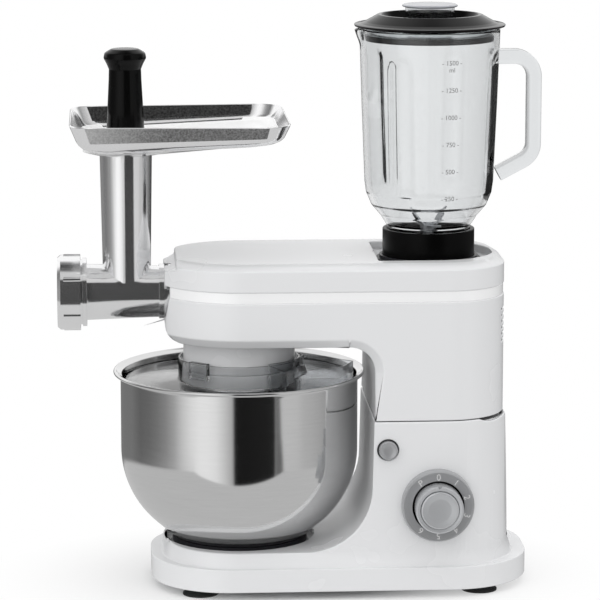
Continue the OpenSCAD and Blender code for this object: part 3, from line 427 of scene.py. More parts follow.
def castAlloy():
    # sand-blasted alloy, deep grey in its pits, paler towards the nose of the tray, with painted shade making the far
    # wall near black
    recipe = newPaint("castAlloy", Metallic=0.8)
    coarse = recipe.noise(520, 4, None, 0.75)
    speck = recipe.ramp(coarse, (0.36, 0.0), (0.64, 1.0))
    x, y, z = recipe.split()
    pale = 1 - recipe.step(x, -0.165, 0.045)
    farWallShadeMask = recipe.step(y, 0, 0.01)
    near = recipe.mix(speck, grey(0.13), grey(0.36))
    paleFront = recipe.mix(speck, grey(0.46), grey(0.66))
    # painted shade: the far wall of the tray is coloured near black
    paintedFarShade = recipe.mix(speck, grey(0.022), grey(0.11))
    recipe.use(
        Base_Color=recipe.mix(farWallShadeMask, recipe.mix(pale, near, paleFront), paintedFarShade),
        Roughness=0.44 + recipe.noise(1500, 2) * 0.2,
    )
    return recipe.bump(coarse, 0.2, 0.8).owner


def silverPaint(name, colour, metallic, roughness, **plain):
    # metallic flakes under a clear layer
    recipe = newPaint(name, Metallic=metallic, Coat_Weight=0.25, Coat_Roughness=0.15, **plain)
    flake = recipe.noise(2600, 1)
    recipe.use(
        Base_Color=recipe.mix(flake, shaded(colour, 0.95), shaded(colour, 1.05)),
        Roughness=roughness - 0.04 + recipe.noise(300, 2) * 0.08,
    )
    return recipe.bump(flake, 0.002, 0.3).owner


def clearPlastic(name, tint, roughness=0.03, ior=1.46, wave=0.05):
    recipe = newPaint(name, Transmission_Weight=1.0, IOR=ior)
    drift = recipe.noise(18, 2)
    recipe.use(
        Base_Color=recipe.mix(drift, shaded(tint, 0.97), tint),
        Roughness=roughness + recipe.noise(60, 2) * (roughness * 0.8),
    )
    return recipe.bump(drift, wave, 0.35).owner


def copperWire():
    recipe = newPaint("copperWire", Metallic=1.0)
    winding = recipe.node("TexWave", {"bands_direction": "Z"}, {"Vector": recipe.place, "Scale": 900.0})
    colour = recipe.mix(winding, (0.28, 0.09, 0.03), (0.72, 0.3, 0.13))
    recipe.use(Base_Color=colour, Roughness=0.28 + winding * 0.14)
    return recipe.bump(winding, 0.25).owner


def circuitGreen():
    recipe = newPaint("boardGreen", Coat_Weight=0.3)
    cells = {"Vector": recipe.place, "Scale": 160}
    line = recipe.ramp(
        recipe.node("TexVoronoi", {"distance": "CHEBYCHEV"}, cells, output="Distance"), (0.4, 0.0), (0.5, 1.0)
    )
    colour = recipe.mix(line, (0.012, 0.13, 0.045), (0.03, 0.26, 0.09))
    recipe.use(Base_Color=colour, Roughness=0.35 + line * 0.1)
    return recipe.bump(line, 0.05).owner


def rubber():
    recipe = newPaint("softRubber")
    dust = recipe.noise(120, 4)
    recipe.use(Base_Color=recipe.mix(dust, grey(0.005), grey(0.012)), Roughness=0.55 + dust * 0.2)
    return recipe.bump(recipe.noise(1400, 2), 0.05, 0.6).owner


def laminations():
    recipe = newPaint("platedSteel", Metallic=1.0)
    sheets = recipe.node("TexWave", {"bands_direction": "Z"}, {"Vector": recipe.place, "Scale": 320.0})
    recipe.use(Base_Color=recipe.mix(sheets, grey(0.2), grey(0.42)), Roughness=0.38 + recipe.noise(90) * 0.15)
    return recipe.bump(sheets, 0.06, 0.7).owner


paints = {
    "housing": mouldedPlastic("glossWhite", (0.79, 0.795, 0.805), 0.27, 0.004),
    # painted reflection: the silver band is coloured near white, standing in for the front light mirrored in it
    "band": silverPaint("bandSilverPaintedReflection", (0.96, 0.965, 0.975), 0.06, 0.3),
    "control": silverPaint("controlSilver", (0.55, 0.56, 0.575), 0.45, 0.34),
    "controlDark": silverPaint("controlFace", (0.42, 0.425, 0.435), 0.45, 0.36),
    "bowl": turnedSteel(),
    # painted light: the tray floor is coloured pure white, standing in for the bright light on it
    "satin": silverPaint("satinAlloyPaintedLight", (1.0, 1.0, 1.0), 0.05, 0.5),
    "polished": metal("polishedAlloy", (0.97, 0.97, 0.975), 0.11, 0.02, 160, 0.3, 0.94),
    "machined": metal("machinedSteel", (0.62, 0.62, 0.62), 0.25, 0.01, 900),
    "cast": castAlloy(),
    "plateGrey": mouldedPlastic("plateGrey", grey(0.2), 0.5),
    "black": mouldedPlastic("glossBlack", grey(0.003), 0.13, 0.06, Specular_IOR_Level=0.12),
    "satinBlack": mouldedPlastic("satinBlack", grey(0.002), 0.3, 0.06, 0.02, Specular_IOR_Level=0.07),
    "rubber": rubber(),
    "clear": clearPlastic("clearPlastic", (0.97, 0.975, 0.98)),
    "smoky": clearPlastic("smokyPlastic", (0.82, 0.835, 0.85), 0.02, 1.46, 0.08),
    "grip": clearPlastic("gripGlass", (0.78, 0.795, 0.805), 0.01, 1.5, 0.12),
    "glass": clearPlastic("pressedGlass", (0.875, 0.885, 0.89), 0.01, 1.5, 0.12),
    "skirt": clearPlastic("skirtPlastic", (0.62, 0.65, 0.66), 0.12, 1.46),
    # painted light: the shelf is coloured paler than itself, for the light the clear ring keeps off it
    "frosted": mouldedPlastic("frostedPaintedLight", (0.9, 0.91, 0.92), 0.4),
    "capClear": clearPlastic("capPlastic", (0.86, 0.87, 0.88), 0.05, 1.46),
    "capFace": silverPaint("capFace", (0.42, 0.43, 0.46), 0.3, 0.25),
    "copper": copperWire(),
    "nylon": mouldedPlastic("gearNylon", (0.62, 0.58, 0.47), 0.45),
    "bronze": metal("gearBronze", (0.55, 0.36, 0.16), 0.3),
    "board": circuitGreen(),
    "carbon": mouldedPlastic("carbonBlock", (0.03, 0.03, 0.032), 0.6, 0.1, 0.05),
    "stack": laminations(),
    "ink": mouldedPlastic("greyInk", grey(0.22), 0.5, 0.05, 0.004),
    "paleInk": mouldedPlastic("paleInk", grey(0.72), 0.4, 0.02, 0.004),
}
slotPaint = {
    "housing_white": "housing", "band_silver": "band", "control_silver": "control", "bowl_steel": "bowl",
    "shaft_steel": "machined", "cast_alloy": "polished", "plate_grey": "plateGrey", "black_plastic": "satinBlack",
    "black_rubber": "rubber", "clear_plastic": "clear", "jug_clear": "glass", "copper_wire": "copper",
    "gear_nylon": "nylon", "gear_bronze": "bronze", "board_green": "board", "cap_clear": "control",
    "carbon": "carbon",
}
for entry in frame["record"]["materials"]:
    for nodeName in entry.get("nodes", []):
        paint = "stack" if nodeName in ("motor_stator", "rotor_core") else slotPaint[entry["slot"]]
        cadPiece = frame["nodes"][nodeName]
        cadPiece.data.materials.clear()
        cadPiece.data.materials.append(paints[paint])
        smooth(cadPiece, 30)
print("materials made")

# base and head housings
housing = {"edge": 1.1, "bandEdge": 0.4, "collarEdge": 0.6}
finishPiece(softenedCopy("base_shell", "baseHousing", housing["edge"]), "base", paints["housing"],
            "housing_white", "base_shell")
finishPiece(softenedCopy("head_shell", "headHousing", housing["edge"]), "head", paints["housing"],
            "housing_white", "head_shell")
finishPiece(softenedCopy("top_cover", "topHousing", housing["edge"]), "head", paints["housing"],
            "housing_white", "top_cover")
# the band's near-white paint is painted reflection
finishPiece(softenedCopy("trim_band", "silverBand", housing["bandEdge"], 2), "head", paints["band"],
            "band_silver", "trim_band")
finishPiece(softenedCopy("drive_collar", "driveCollar", housing["collarEdge"]), "head", paints["housing"],
            "housing_white", "drive_collar")
print("housings made")

# the bowl, turned from one line that runs up its outside and down its inside
bowl = {
    "floor": 44.5, "foot": 64, "cone": 61, "bellyRadius": 92, "bellyAt": (22, 130),
    "wall": 114, "steel": 1.2, "rim": 206.4, "bead": 1.7, "beadAt": 119.1, "shoulder": 202.2,
}


def belly(inset, first, last, steps):
    cx, cz = bowl["bellyAt"]
    radius = bowl["bellyRadius"] - inset
    heights = [first + (last - first) * k / steps for k in range(steps + 1)]
    return [(cx + math.sqrt(radius**2 - (cz - z) ** 2), z) for z in heights]


bowlProfile = fillet(
    [(0, bowl["floor"]), (bowl["foot"], bowl["floor"], 3)]
    + belly(0, bowl["cone"], bowl["bellyAt"][1], 16)
    + [(bowl["wall"], z) for z in (165, 185, 195, 199)]
    + [(bowl["wall"], bowl["shoulder"], 1.2), (117, 203.5, 0.8)]
    + arc(bowl["beadAt"], bowl["rim"] - bowl["bead"], bowl["bead"], -125, 150, 12)
    + [(116.4, 204.9, 0.8), (bowl["wall"] - bowl["steel"], bowl["shoulder"] + 0.8, 1.2)]
    + [(bowl["wall"] - bowl["steel"], z) for z in (199, 195, 185, 165)]
    + belly(bowl["steel"], bowl["bellyAt"][1], bowl["cone"], 16)
    + [(bowl["foot"] - 1, bowl["floor"] + bowl["steel"], 3), (0, bowl["floor"] + bowl["steel"])]
)
bowlPiece = spinPiece("mixingBowl", bowlProfile, at(0, 0, 0), "z", False, 160, 50)
finishPiece(bowlPiece, "bowl", paints["bowl"], "bowl_steel", "bowl")
print("bowl made")

# the splash guard: a clear disc with its ring, a frosted shelf, a clip and the feeding chute
guard = {
    "disc": 195, "lip": 190, "radius": 109.8, "thick": 2, "ringInner": 56.5, "ringOuter": 58.5, "ringTop": 218.5,
    "shelf": (49.5, 56.2, 195.2, 209.2), "chuteTop": 221, "chuteTip": 215, "chuteWall": 1.5,
}
guardProfile = fillet(
    [(guard["ringInner"], guard["ringTop"], 0.6), (guard["ringOuter"], guard["ringTop"], 0.6),
     (guard["ringOuter"], guard["disc"] + guard["thick"], 1.5), (guard["radius"], guard["disc"] + guard["thick"], 1.4),
     (guard["radius"], guard["lip"], 0.5), (guard["radius"] - guard["thick"], guard["lip"], 0.5),
     (guard["radius"] - guard["thick"], guard["disc"], 1), (guard["ringInner"], guard["disc"])], True)
guardPiece = spinPiece("splashGuard", guardProfile, at(0, 0, 0), "z", True, 128, 40)

# the chute in plan: back wall, rim side, front wall and its turn back to the ring
chutePlan = fillet(
    [(60.6, -9, 1), (84, -5, 30), (109.3, -12, 3)] + arc(0, 0, 106.5, -12, -52, 10)[1:]
    + [(52, -93, 16), (39, -91, 7), (27, -64, 8), (25.6, -55, 1.5)]
    + arc(0, 0, 61, -62, -14, 10), True, 5)
chutePlan = spreadOut(chutePlan, 120)


def chuteTopAt(x):
    share = min(1, max(0, (x - 62) / 47))
    return guard["chuteTop"] - (guard["chuteTop"] - guard["chuteTip"]) * share * share * (3 - 2 * share)


finishPiece(guardPiece, "guard", paints["clear"], "clear_plastic", "splash_guard")

chute = loftPiece(
    "guardChute",
    [[at(x, y, guard["disc"] + guard["thick"] + 0.1) for x, y in chutePlan]]
    + [[at(x, y, 208) for x, y in chutePlan]]
    + [[at(x, y, chuteTopAt(x)) for x, y in chutePlan]], 50)
walls = chute.modifiers.new("walls", "SOLIDIFY")
walls.thickness = guard["chuteWall"] / 1000
walls.offset = 0
applyAll(chute)
bevelEdges(chute, 0.4, 2, 50)
finishPiece(chute, "guard", paints["smoky"], "clear_plastic")

# the slide inside the chute, a curved sheet that falls towards the bowl
slideLine = [(60, 219), (54, 217.6), (48, 213.6), (43, 208.6), (39.5, 203.4), (37.6, 198)]
slide = loftPiece("chuteSlide", [
    [at(x, y, z) for x, z in slideLine] + [at(x - 1.0, y, z - 1.2) for x, z in reversed(slideLine)]
    for y in (-90.4, -60, -48)], 50)
finishPiece(slide, "guard", paints["smoky"], "clear_plastic")

shelfIn, shelfOut, shelfLow, shelfHigh = guard["shelf"]
# the shelf takes the paler paint, painted light
shelf = spinPiece("guardShelf", fillet(
    [(shelfIn, shelfLow, 0.6), (shelfOut, shelfLow, 0.6), (shelfOut, shelfHigh, 0.6), (shelfIn, shelfHigh, 0.6)],
    True), at(0, 0, 0), "z", True, 128, 40)
finishPiece(shelf, "guard", paints["frosted"], "clear_plastic")

# the clip that locks the guard to the collar: a box with a sunk face
deselectAll()
bpy.ops.mesh.primitive_cube_add(size=1)
clip = bpy.context.object
clip.name = clip.data.name = "guardClip"
openMesh(clip, "FACE")
bpy.ops.mesh.select_all(action="SELECT")
bpy.ops.transform.resize(value=(0.022, 0.0055, 0.0165))
closeMesh()
for face in clip.data.polygons:
    face.select = face.normal.y < -0.9
bpy.ops.object.mode_set(mode="EDIT")
bpy.ops.mesh.inset(thickness=0.0028)
bpy.ops.mesh.extrude_region_move(TRANSFORM_OT_translate={"value": (0, 0.0014, 0)})
closeMesh()
bevelEdges(clip, 0.6, 2, 30)
clip.rotation_euler = (0, 0, math.radians(-41))
clip.location = at(61 * math.cos(math.radians(-131)), 61 * math.sin(math.radians(-131)), 213)
pick(clip)
bpy.ops.object.transform_apply(location=True, rotation=True, scale=True)
finishPiece(clip, "guard", paints["clear"], "clear_plastic")
print("guard made")

# the blender jug
jug = {
    "outside": [(39.5, 327.8), (39.5, 344, 4), (46, 354.5, 8), (55, 365, 10), (60, 377, 10), (61.5, 388, 30),
                (64.4, 460), (66.9, 533)],
    "wall": 4.6, "flutes": (-29.5, 63, 151, -128), "fluteWidth": 24, "fluteDepth": 3.2, "fluteTop": 510,
    "fluteFoot": 372, "spout": 5.0, "spoutWidth": 24, "spoutFoot": 519,
    "handleWidth": 20, "handleThick": 14, "inkSize": 6.2, "inkTurn": 13, "inkLow": 377.7, "inkStep": 25.66,
}


def glassWall():
    profile = fillet(jug["outside"], False, 6)
    dense = [profile[0]]
    for a, b in zip(profile, profile[1:]):  # short steps, so that the flutes are smooth
        count = max(1, round(math.dist(a, b) / 4))
        dense += [(a[0] + (b[0] - a[0]) * k / count, a[1] + (b[1] - a[1]) * k / count) for k in range(1, count + 1)]
    wall = spinPiece("jugGlass", dense, at(jugAxis, 0, 0), "z", False, 192)
    outside = len(wall.data.vertices)
    thick = wall.modifiers.new("wall", "SOLIDIFY")
    thick.thickness = jug["wall"] / 1000
    thick.offset = -1
    applyAll(wall)
    # the flutes are pressed into the outside only, and the spout is drawn out of the rim
    pressed = wall.vertex_groups.new(name="flutes")
    drawn = wall.vertex_groups.new(name="spout")
    centre = at(jugAxis, 0, 0)
    for vertex in wall.data.vertices:
        turn = math.degrees(math.atan2(vertex.co.x - centre.x, -vertex.co.y))
        height = vertex.co.z * 1000
        radius = math.dist(vertex.co.xy, centre.xy) * 1000
        weight = 0
        for flute in jug["flutes"]:
            away = math.radians((turn - flute + 180) % 360 - 180) * radius
            over = max(0, height - (jug["fluteTop"] - jug["fluteWidth"] / 2))
            across = math.hypot(away, over) / (jug["fluteWidth"] / 2)
            if across < 1:
                weight = max(weight, (1 - across**2) ** 0.6)
        weight *= min(1, max(0, (height - jug["fluteFoot"]) / 14))
        if vertex.index < outside:
            pressed.add([vertex.index], weight, "REPLACE")
        lip = abs(math.radians((turn + 90 + 180) % 360 - 180) * radius) / (jug["spoutWidth"] / 2)
        if lip < 1 and height > jug["spoutFoot"]:
            rise = (height - jug["spoutFoot"]) / (533 - jug["spoutFoot"])
            drawn.add([vertex.index], math.cos(lip * math.pi / 2) ** 1.2 * rise**0.8, "REPLACE")
    for group, depth in (("flutes", -jug["fluteDepth"]), ("spout", jug["spout"])):
        press = wall.modifiers.new(group, "DISPLACE")
        press.vertex_group = group
        press.mid_level = 0
        press.strength = depth / 1000
        if group == "spout":  # both skins of the wall go outwards, along -X
            press.direction = "X"
            press.strength = -depth / 1000
    applyAll(wall)
    rims = wall.modifiers.new("rims", "BEVEL")
    rims.width = 0.0014
    rims.segments = 3
    rims.limit_method = "ANGLE"
    rims.angle_limit = math.radians(60)
    applyAll(wall)
    return wall


def jugHandle():
    # a rounded bar drawn along its loop: out, round, down, round and back in
    half, side = jug["handleThick"] / 2, jug["handleWidth"] / 2
    section = fillet([(-half, -side, 5), (half, -side, 5), (half, side, 5), (-half, side, 5)], True, 4)
    start = at(241, 0, 506)
    piece = drawLine("jugHandle", [start + Vector((0, b / 1000, a / 1000)) for a, b in section], True)
    bpy.ops.mesh.edge_face_add()
    bpy.ops.mesh.select_mode(type="FACE")

    def push(x, z):
        bpy.ops.mesh.extrude_region_move(TRANSFORM_OT_translate={"value": (x / 1000, 0, z / 1000)})

    def bend(steps, angle, z):
        bpy.ops.mesh.spin(steps=steps, angle=math.radians(angle), center=at(262.8, 0, z), axis=(0, 1, 0),
                          use_auto_merge=False)

    push(21.8, 0)
    bend(14, -90, 487)
    push(0, -64)
    bend(12, -62, 423)
    lean = math.radians(152)
    push(27 * math.cos(lean), -27 * math.sin(lean))
    bpy.ops.mesh.select_all(action="SELECT")
    bpy.ops.mesh.remove_doubles(threshold=1e-6)
    bpy.ops.mesh.normals_make_consistent(inside=False)
    closeMesh()
    return piece


glass = glassWall()
mergeInto(glass, jugHandle())
smooth(glass, 40)
finishPiece(glass, "jug", paints["glass"], "jug_clear", "jug_glass")
glass.data.materials.append(paints["grip"])
for face in glass.data.polygons:
    face.material_index = int(face.center.x > at(249, 0, 0).x)


def wrapRound(piece, centre, radius):
    # bends flat lettering round an upright cylinder
    for vertex in piece.data.vertices:
        turn = vertex.co.x / radius
        outer = radius - vertex.co.y
        vertex.co = (centre.x + outer * math.sin(turn), centre.y - outer * math.cos(turn), vertex.co.z)


for number in range(6):
    height = jug["inkLow"] + number * jug["inkStep"]
    radius = 61.5 + (height - 388) * 0.0403 + 0.12
    mark = textMesh("jugMark" + str(250 * (number + 1)), "- " + str(250 * (number + 1)) + " -", jug["inkSize"])
    standUp(mark, Vector((0, 0, height / 1000)))
    openMesh(mark)
    bpy.ops.mesh.select_all(action="SELECT")
    bpy.ops.transform.translate(value=(math.radians(jug["inkTurn"]) * radius / 1000, 0, 0))
    closeMesh()
    wrapRound(mark, at(jugAxis, 0, 0), radius / 1000)
    finishPiece(mark, "jug", paints["ink"], "jug_clear")
unit = textMesh("jugMarkMl", "ml", jug["inkSize"])
standUp(unit, Vector((0, 0, 0.4995)))
openMesh(unit)
bpy.ops.mesh.select_all(action="SELECT")
bpy.ops.transform.translate(value=(math.radians(jug["inkTurn"]) * 0.066, 0, 0))
closeMesh()
wrapRound(unit, at(jugAxis, 0, 0), 0.0661)
finishPiece(unit, "jug", paints["ink"], "jug_clear")

finishPiece(softenedCopy("jug_collar", "jugCollar", 0.9), "jug", paints["satinBlack"], "black_plastic",
            "jug_collar")

# the lid: a dished black cover, a smoky skirt under it and a black gasket
lid = {"brim": 72, "brimZ": 536, "dish": 46, "top": 546.8, "skirt": (56.5, 60.8), "gasket": (57, 61)}
lidProfile = fillet(
    [(22.4, 526), (25, 526), (25, 533.2, 1), (43.5, 533.2, 2), (47.5, 541.5, 3), (60.5, 536.2, 2), (60.6, 533.6),
     (62.2, 533.6, 0.4), (62.6, 535, 1), (71.2, lid["brimZ"] - 0.8, 0.8), (lid["brim"], lid["brimZ"] + 1.2, 1.2),
     (66, 538, 3), (61.5, 539.6, 8), (lid["dish"] + 3.2, lid["top"] - 0.4, 2.2), (lid["dish"], lid["top"] - 0.2, 1.2),
     (42, 536.2, 3), (22.4, 536.2, 0.8)], True)
finishPiece(spinPiece("jugLid", lidProfile, at(jugAxis, 0, 0), "z", True, 128, 40), "lid", paints["black"],
            "black_plastic", "jug_lid")
for name, (inner, outer), low, high, paint in (
    ("lidSkirt", lid["skirt"], 527.2, 536.0, "skirt"), ("lidGasket", lid["gasket"], 522.2, 527.0, "rubber"),
):
    sleeve = spinPiece(name, fillet([(inner, low, 0.8), (outer, low, 1.2), (outer, high, 0.6), (inner, high, 0.6)],
                                    True), at(jugAxis, 0, 0), "z", True, 128, 40)
    finishPiece(sleeve, "lid", paints[paint], "black_plastic")

# the filler cap: a clear cup under a pale flange
capProfile = fillet(
    [(19.2, 521), (21.2, 521, 0.6), (21.2, 536.8, 0.5), (23.4, 538, 1), (23.4, 553.1), (21.4, 553.1), (21.4, 538.6, 1),
     (19.2, 537, 1)], True)
finishPiece(spinPiece("capCup", capProfile, at(jugAxis, 0, 0), "z", True, 96, 40), "cap", paints["capClear"],
            "cap_clear", "filler_cap")
flangeProfile = fillet(
    [(0, 553.2), (24.2, 553.2, 0.4), (26.2, 553.9, 0.6), (26.4, 555, 0.6), (25, 555.9, 0.8), (19, 556, 3), (0, 555.6)])
finishPiece(spinPiece("fillerCap", flangeProfile, at(jugAxis, 0, 0), "z", False, 96, 40), "cap",
            paints["capFace"], "cap_clear")
print("jug made")

# the speed dial and the latch button
dial = {
    "x": 184, "z": 89.5, "ring": 34.4, "ringIn": 24.7, "face": 11.4, "knob": 22.7, "front": 26.2, "cap": 17.9,
    "digits": "P0123456", "digitRadius": 28.2, "digitSize": 8.6, "step": 36,
}
button = {"x": 137, "z": 142.5, "radius": 8.9, "front": 5.4}
dialCentre = at(dial["x"], towerSide, dial["z"])
ringProfile = fillet(
    [(dial["ringIn"], -2), (dial["ringIn"], dial["face"] - 0.4, 0.4), (31.6, dial["face"] - 0.4, 0.3),
     (32.3, dial["face"], 0.3), (33.2, dial["face"], 0.6), (dial["ring"], dial["face"] - 2.6, 0.8), (dial["ring"], -2)],
    True)
finishPiece(spinPiece("dialRing", ringProfile, dialCentre, "y", True, 128, 25), "base", paints["controlDark"],
            "control_silver", "dial_scale_ring")
wellProfile = fillet([(3.4, -2), (24.6, -2), (24.6, 10.6, 0.3), (23.8, 10.6, 0.3), (23.8, 2.4, 0.5), (3.4, 2.4)], True)
finishPiece(spinPiece("dialWell", wellProfile, dialCentre, "y", True, 96, 40), "base", paints["satinBlack"],
            "black_plastic")
knobProfile = fillet(
    [(0, 20), (18.4, 20, 0.4), (18.4, dial["front"] - 0.8, 0.5), (21.4, dial["front"], 0.7),
     (dial["knob"], dial["front"] - 1.6, 0.8), (dial["knob"], 4, 0.6), (3, 4), (3, -14.5), (0, -14.5)])
knob = spinPiece("dialKnob", knobProfile, dialCentre, "y", False, 128, 30)
notchProfile = [(0, 22.8), (1.7, 22.8), (1.7, 30), (0, 30)]
mergeInto(knob, spinPiece("notch", notchProfile, dialCentre + Vector((0, 0, 0.0222)), "y", False, 24), "DIFFERENCE")
smooth(knob, 30)
finishPiece(knob, "dial", paints["control"], "control_silver", "speed_knob")
capProfile = fillet(
    [(0, 20.2), (dial["cap"], 20.2), (dial["cap"], 26.8, 0.5), (16.6, 27.6, 0.9), (11, 26.4, 10), (0, 25.4)])
finishPiece(spinPiece("dialCap", capProfile, dialCentre, "y", False, 96, 40), "dial", paints["control"],
            "control_silver", "knob_cap")
for number, word in enumerate(dial["digits"]):
    turn = (number - 1) * dial["step"]
    digit = textMesh("dialMark" + word, word, dial["digitSize"])
    digit.rotation_euler = (0, 0, -math.radians(turn))
    bpy.ops.object.transform_apply(location=True, rotation=True, scale=True)
    side, rise = math.sin(math.radians(turn)), math.cos(math.radians(turn))
    standUp(digit, dialCentre + Vector((side, 0, rise)) * (dial["digitRadius"] / 1000)
            + Vector((0, -(dial["face"] - 0.38) / 1000, 0)))
    finishPiece(digit, "base", paints["paleInk"], "control_silver")
buttonProfile = fillet(
    [(0, -14), (button["radius"], -14), (button["radius"], 3.4, 0.8), (8.0, button["front"], 0.7),
     (7.4, button["front"], 0.6), (5, 4.2, 5), (0, 3.6)])
finishPiece(spinPiece("latchButton", buttonProfile, at(button["x"], towerSide, button["z"]), "y", False, 64, 40),
            "release", paints["controlDark"], "control_silver", "release_button")
print("controls made")

# the grinder with its hopper tray
finishPiece(softenedCopy("grinder_body", "grinderBody", 0.7, clamp=True), "grinder", paints["polished"], "cast_alloy",
            "grinder_body")
finishPiece(softenedCopy("ring_nut", "ringNut", 0.9, clamp=True), "nut", paints["polished"], "cast_alloy", "ring_nut")

tray = {"front": -159.8, "back": 46, "rim": 451, "corner": 24, "wall": 1.8, "points": 112}


def trayLoop(inset, left, right, nose=0):
    # a rounded outline, wider at the back; left and right are its heights at the two ends
    x0, x1 = tray["front"] + inset + nose, tray["back"] - inset - nose * 0.4
    w0, w1 = 86 - inset, 98 - inset
    front, back = max(8, tray["corner"] - inset / 2), max(8, tray["corner"] + 7 - inset / 2)
    line = fillet([(x0, 0), (x0, -w0, front), (x1, -w1, back), (x1, w1, back), (x0, w0, front), (x0, 0.5)], False, 8)
    return [
        at(x, y, left + (right - left) * (x - x0) / (x1 - x0)) for x, y in spreadOut(line[:-1], tray["points"])
    ]


def throatLoop(radius, height):
    count = tray["points"]
    turns = [math.pi + 2 * math.pi * k / count for k in range(count)]
    return [at(feedAxis + radius * math.cos(t), radius * math.sin(t), height) for t in turns]


trayPiece = loftPiece("hopperTray", [
    throatLoop(19.1, 404), throatLoop(22, 404), throatLoop(22, 416.1), throatLoop(26.5, 416.1),
    throatLoop(34, 416.6), throatLoop(41, 418.4),
    trayLoop(24, 422.6, 431.6, 7), trayLoop(15, 423.6, 432.2, 13), trayLoop(9.5, 425.4, 433.4, 10),
    trayLoop(6, 428.2, 435.6, 6.5), trayLoop(4, 431.6, 438, 4.5), trayLoop(3.2, 434.8, 440.6, 3.2),
    trayLoop(0, 450.2, 450.2), trayLoop(0.5, 451, 451), trayLoop(1.3, 451, 451), trayLoop(1.8, 450.3, 450.3),
    trayLoop(5.2, 436.4, 442, 3.2), trayLoop(6.2, 433.2, 439.6, 4.5), trayLoop(8.4, 430.4, 437.4, 6.5),
    trayLoop(12, 428, 436, 10), trayLoop(18, 426.8, 435, 12), throatLoop(40, 422), throatLoop(32, 420),
    throatLoop(21, 419), throatLoop(19.1, 417.4),
    throatLoop(19.1, 404)], 30)
finishPiece(trayPiece, "tray", paints["polished"], "cast_alloy", "hopper_tray")
trayPiece.data.materials.append(paints["cast"])
trayPiece.data.materials.append(paints["satin"])
# the side walls take the cast alloy with its painted shade on the far wall
for face in trayPiece.data.polygons:
    height = face.center.z * 1000
    share = (face.center.x * 1000 - frameShift - tray["front"]) / (tray["back"] - tray["front"])
    if abs(face.normal.y) > 0.93 and 438 + 4.4 * share < height < 450.2 and face.center.x < at(28, 0, 0).x:
        face.material_index = 1
    elif face.normal.z > 0.7 and 419 < height < 445:
        # the tray floor takes the white paint, painted light
        face.material_index = 2

pusherProfile = fillet(
    [(0, 303.7), (17.4, 303.7, 1), (18.7, 305, 1), (18.7, 392, 6), (17.8, 442, 10), (15.5, 486, 8), (15.2, 496, 3),
     (17.5, 501.5, 3), (20.2, 506.5, 3), (19.2, 511.5, 3), (13, 515.2, 4), (0, 516)])
finishPiece(spinPiece("foodPusher", pusherProfile, at(feedAxis, 0, 0), "z", False, 96, 50), "pusher",
            paints["black"], "black_plastic", "food_pusher")
print("grinder made")

# floor, light and camera
studio = {
    "floorSize": 9,
    # what polished surfaces see round the room: degrees from the camera's side, towards the right, and strength
    "round": (
        (-180, 0.2), (-131, 0.21), (-114, 0.145), (-100, 0.165), (-89, 0.21), (-78, 0.29), (-68, 0.44), (-59, 0.7),
        (-50, 0.9), (-41, 1.0), (-33, 1.0), (-25, 0.93), (-17, 0.72), (-9.5, 0.5), (34, 0.92), (36, 0.66), (55, 0.62),
        (63, 0.54), (73, 0.5), (82, 0.45), (93, 0.37), (104, 0.31), (118, 0.19), (134, 0.09), (158, 0.02),
        (180, 0.02),
    ),
    "flagFrom": -8, "flagTo": 32.6, "flagUp": 49, "ceiling": 76,
    "low": 0.7, "ring": 0.9, "top": 1.45,  # what lights the pale surfaces, from the horizon up
}


def rayKinds(recipe):
    path = recipe.node("LightPath").socket.node
    return [Wire(recipe, path.outputs[kind]) for kind in ("Is Camera Ray", "Is Glossy Ray", "Is Transmission Ray")]


def larger(recipe, first, second):
    return recipe.node("Math", {"operation": "MAXIMUM"}, {0: first, 1: second})


def behind(recipe, turn):
    # white straight behind the machine and in front, greyer to the sides, as seen through glass
    away = recipe.node("Math", {"operation": "ABSOLUTE"}, {0: turn})
    return 0.3 + 0.7 * recipe.step(away, 140, 30) + 0.9 * (1 - recipe.step(away, 65, 20))


def floorPaint():
    recipe = Recipe(bpy.data.materials.new("paleFloor"), "Principled BSDF", "Object")
    recipe.use(Base_Color=grey(0.87), Roughness=0.9, Specular_IOR_Level=0.0)
    x, y, z = recipe.split()
    away = recipe.node("Math", {"operation": "POWER"}, {0: x * x / 0.13 + y * y / 0.07, 1: 0.5})
    glow = recipe.ramp(away, (0.3, 0.0), (0.85, 1.0))
    turn = recipe.node("Math", {"operation": "ARCTAN2"}, {0: x, 1: 0 - y}) * (180 / math.pi)
    camera, glossy, through = rayKinds(recipe)
    strength = camera + (1 - camera) * (0.72 * (1 - through) + through * behind(recipe, turn))
    white = recipe.node("Emission", None, {"Color": (1, 1, 1), "Strength": strength})
    both = recipe.node("MixShader", None, {0: glow, 1: Wire(recipe, recipe.surface.outputs[0]), 2: white})
    recipe.feed(recipe.tree.nodes["Material Output"].inputs[0], both)
    return recipe.owner


deselectAll()
bpy.ops.mesh.primitive_circle_add(vertices=64, radius=studio["floorSize"], fill_type="NGON", location=(0, 0, 0))
floor = bpy.context.object
floor.name = "studioFloor"
floor.data.materials.append(floorPaint())
floor.visible_glossy = False


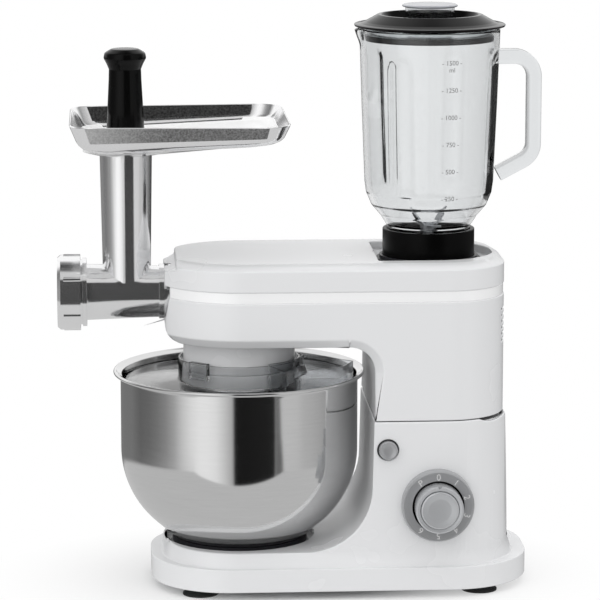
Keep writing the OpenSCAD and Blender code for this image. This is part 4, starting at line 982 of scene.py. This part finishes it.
def studioWorld():
    world = bpy.data.worlds.new("studio")
    bpy.context.scene.world = world
    world.use_nodes = True
    recipe = Recipe(world, "Background", "Generated")
    x, y, z = recipe.split()
    turn = recipe.node("Math", {"operation": "ARCTAN2"}, {0: x, 1: 0 - y}) * (180 / math.pi)
    rise = recipe.node("Math", {"operation": "ARCSINE"}, {0: z}) * (180 / math.pi)

    walls = recipe.ramp(turn / 360 + 0.5, *[(degrees / 360 + 0.5, level) for degrees, level in studio["round"]])
    # below this line the mirror sees the pale table
    table = (turn + 3.5) * (turn + 3.5) * 0.00755 - 29.5
    table = recipe.node("Math", {"operation": "MINIMUM"}, {0: table, 1: -15.0})
    above = recipe.step(rise - table, 0, 1.2)
    # a black flag in front, and the grey wedge beside its lower half
    flag = recipe.step(turn, studio["flagFrom"], 1.5) * (1 - recipe.step(turn, studio["flagTo"], 0.8))
    lean = larger(recipe, (-10 - rise) * 1.6, 0.0)
    wedge = recipe.step(turn, studio["flagTo"], 0.8) * (1 - recipe.step(turn - lean, studio["flagTo"] + 1.6, 1.2))
    low = 1 - recipe.step(rise, studio["flagUp"], 2)
    mirror = walls * (1 - flag * low * 0.98) * (1 - wedge * 0.8)
    mirror = mirror * above + 0.6 * (1 - above)
    # a white backdrop behind, above the horizon
    away = recipe.node("Math", {"operation": "ABSOLUTE"}, {0: turn})
    backdrop = recipe.step(away, 118, 14) * recipe.step(rise, 2, 3) * (1 - recipe.step(rise, 62, 8))
    mirror = mirror + backdrop * (1 - mirror)
    mirror = mirror * (1 - 0.88 * recipe.step(rise, studio["ceiling"], 5))

    camera, glossy, through = rayKinds(recipe)
    plain = studio["low"] + recipe.step(rise, 12, 8) * (studio["ring"] - studio["low"])
    plain = plain + recipe.step(rise, 55, 12) * (studio["top"] - studio["ring"])
    strength = plain * (1 - glossy) + mirror * glossy
    strength = strength * (1 - through) + through * behind(recipe, turn)
    strength = strength * (1 - camera) + camera
    recipe.use(Color=(1, 1, 1), Strength=strength)


studioWorld()


def softbox(name, place, target, size, power):
    deselectAll()
    bpy.ops.object.light_add(type="AREA", location=place)
    lamp = bpy.context.object
    lamp.name = name
    lamp.data.shape = "RECTANGLE"
    lamp.data.size, lamp.data.size_y = size
    lamp.data.energy = power
    lamp.rotation_euler = (Vector(target) - Vector(place)).to_track_quat("-Z", "Y").to_euler()
    lamp.visible_glossy = False
    lamp.visible_transmission = False
    lamp.visible_camera = False


softbox("topBox", (0.1, -0.4, 1.9), (0, 0, 0.25), (1.6, 1.2), 3)
softbox("leftBox", (-1.9, -1.6, 1.4), (0, 0, 0.25), (1.2, 1.2), 8)
softbox("frontBox", (-0.4, -3.6, 0.55), (0, 0, 0.25), (2.4, 1.4), 13)

deselectAll()
bpy.ops.object.camera_add(location=(-0.18648, -3.06497, 0.82492))
camera = bpy.context.object
aim = Vector((0.00098, 0, 0.27242))
camera.rotation_euler = (aim - camera.location).to_track_quat("-Z", "Y").to_euler()
camera.data.sensor_width = 36
camera.data.lens = 195
camera.data.clip_start = 0.1
camera.data.clip_end = 50
bpy.context.scene.camera = camera
bpy.context.scene.view_settings.view_transform = "Standard"
print("studio made")
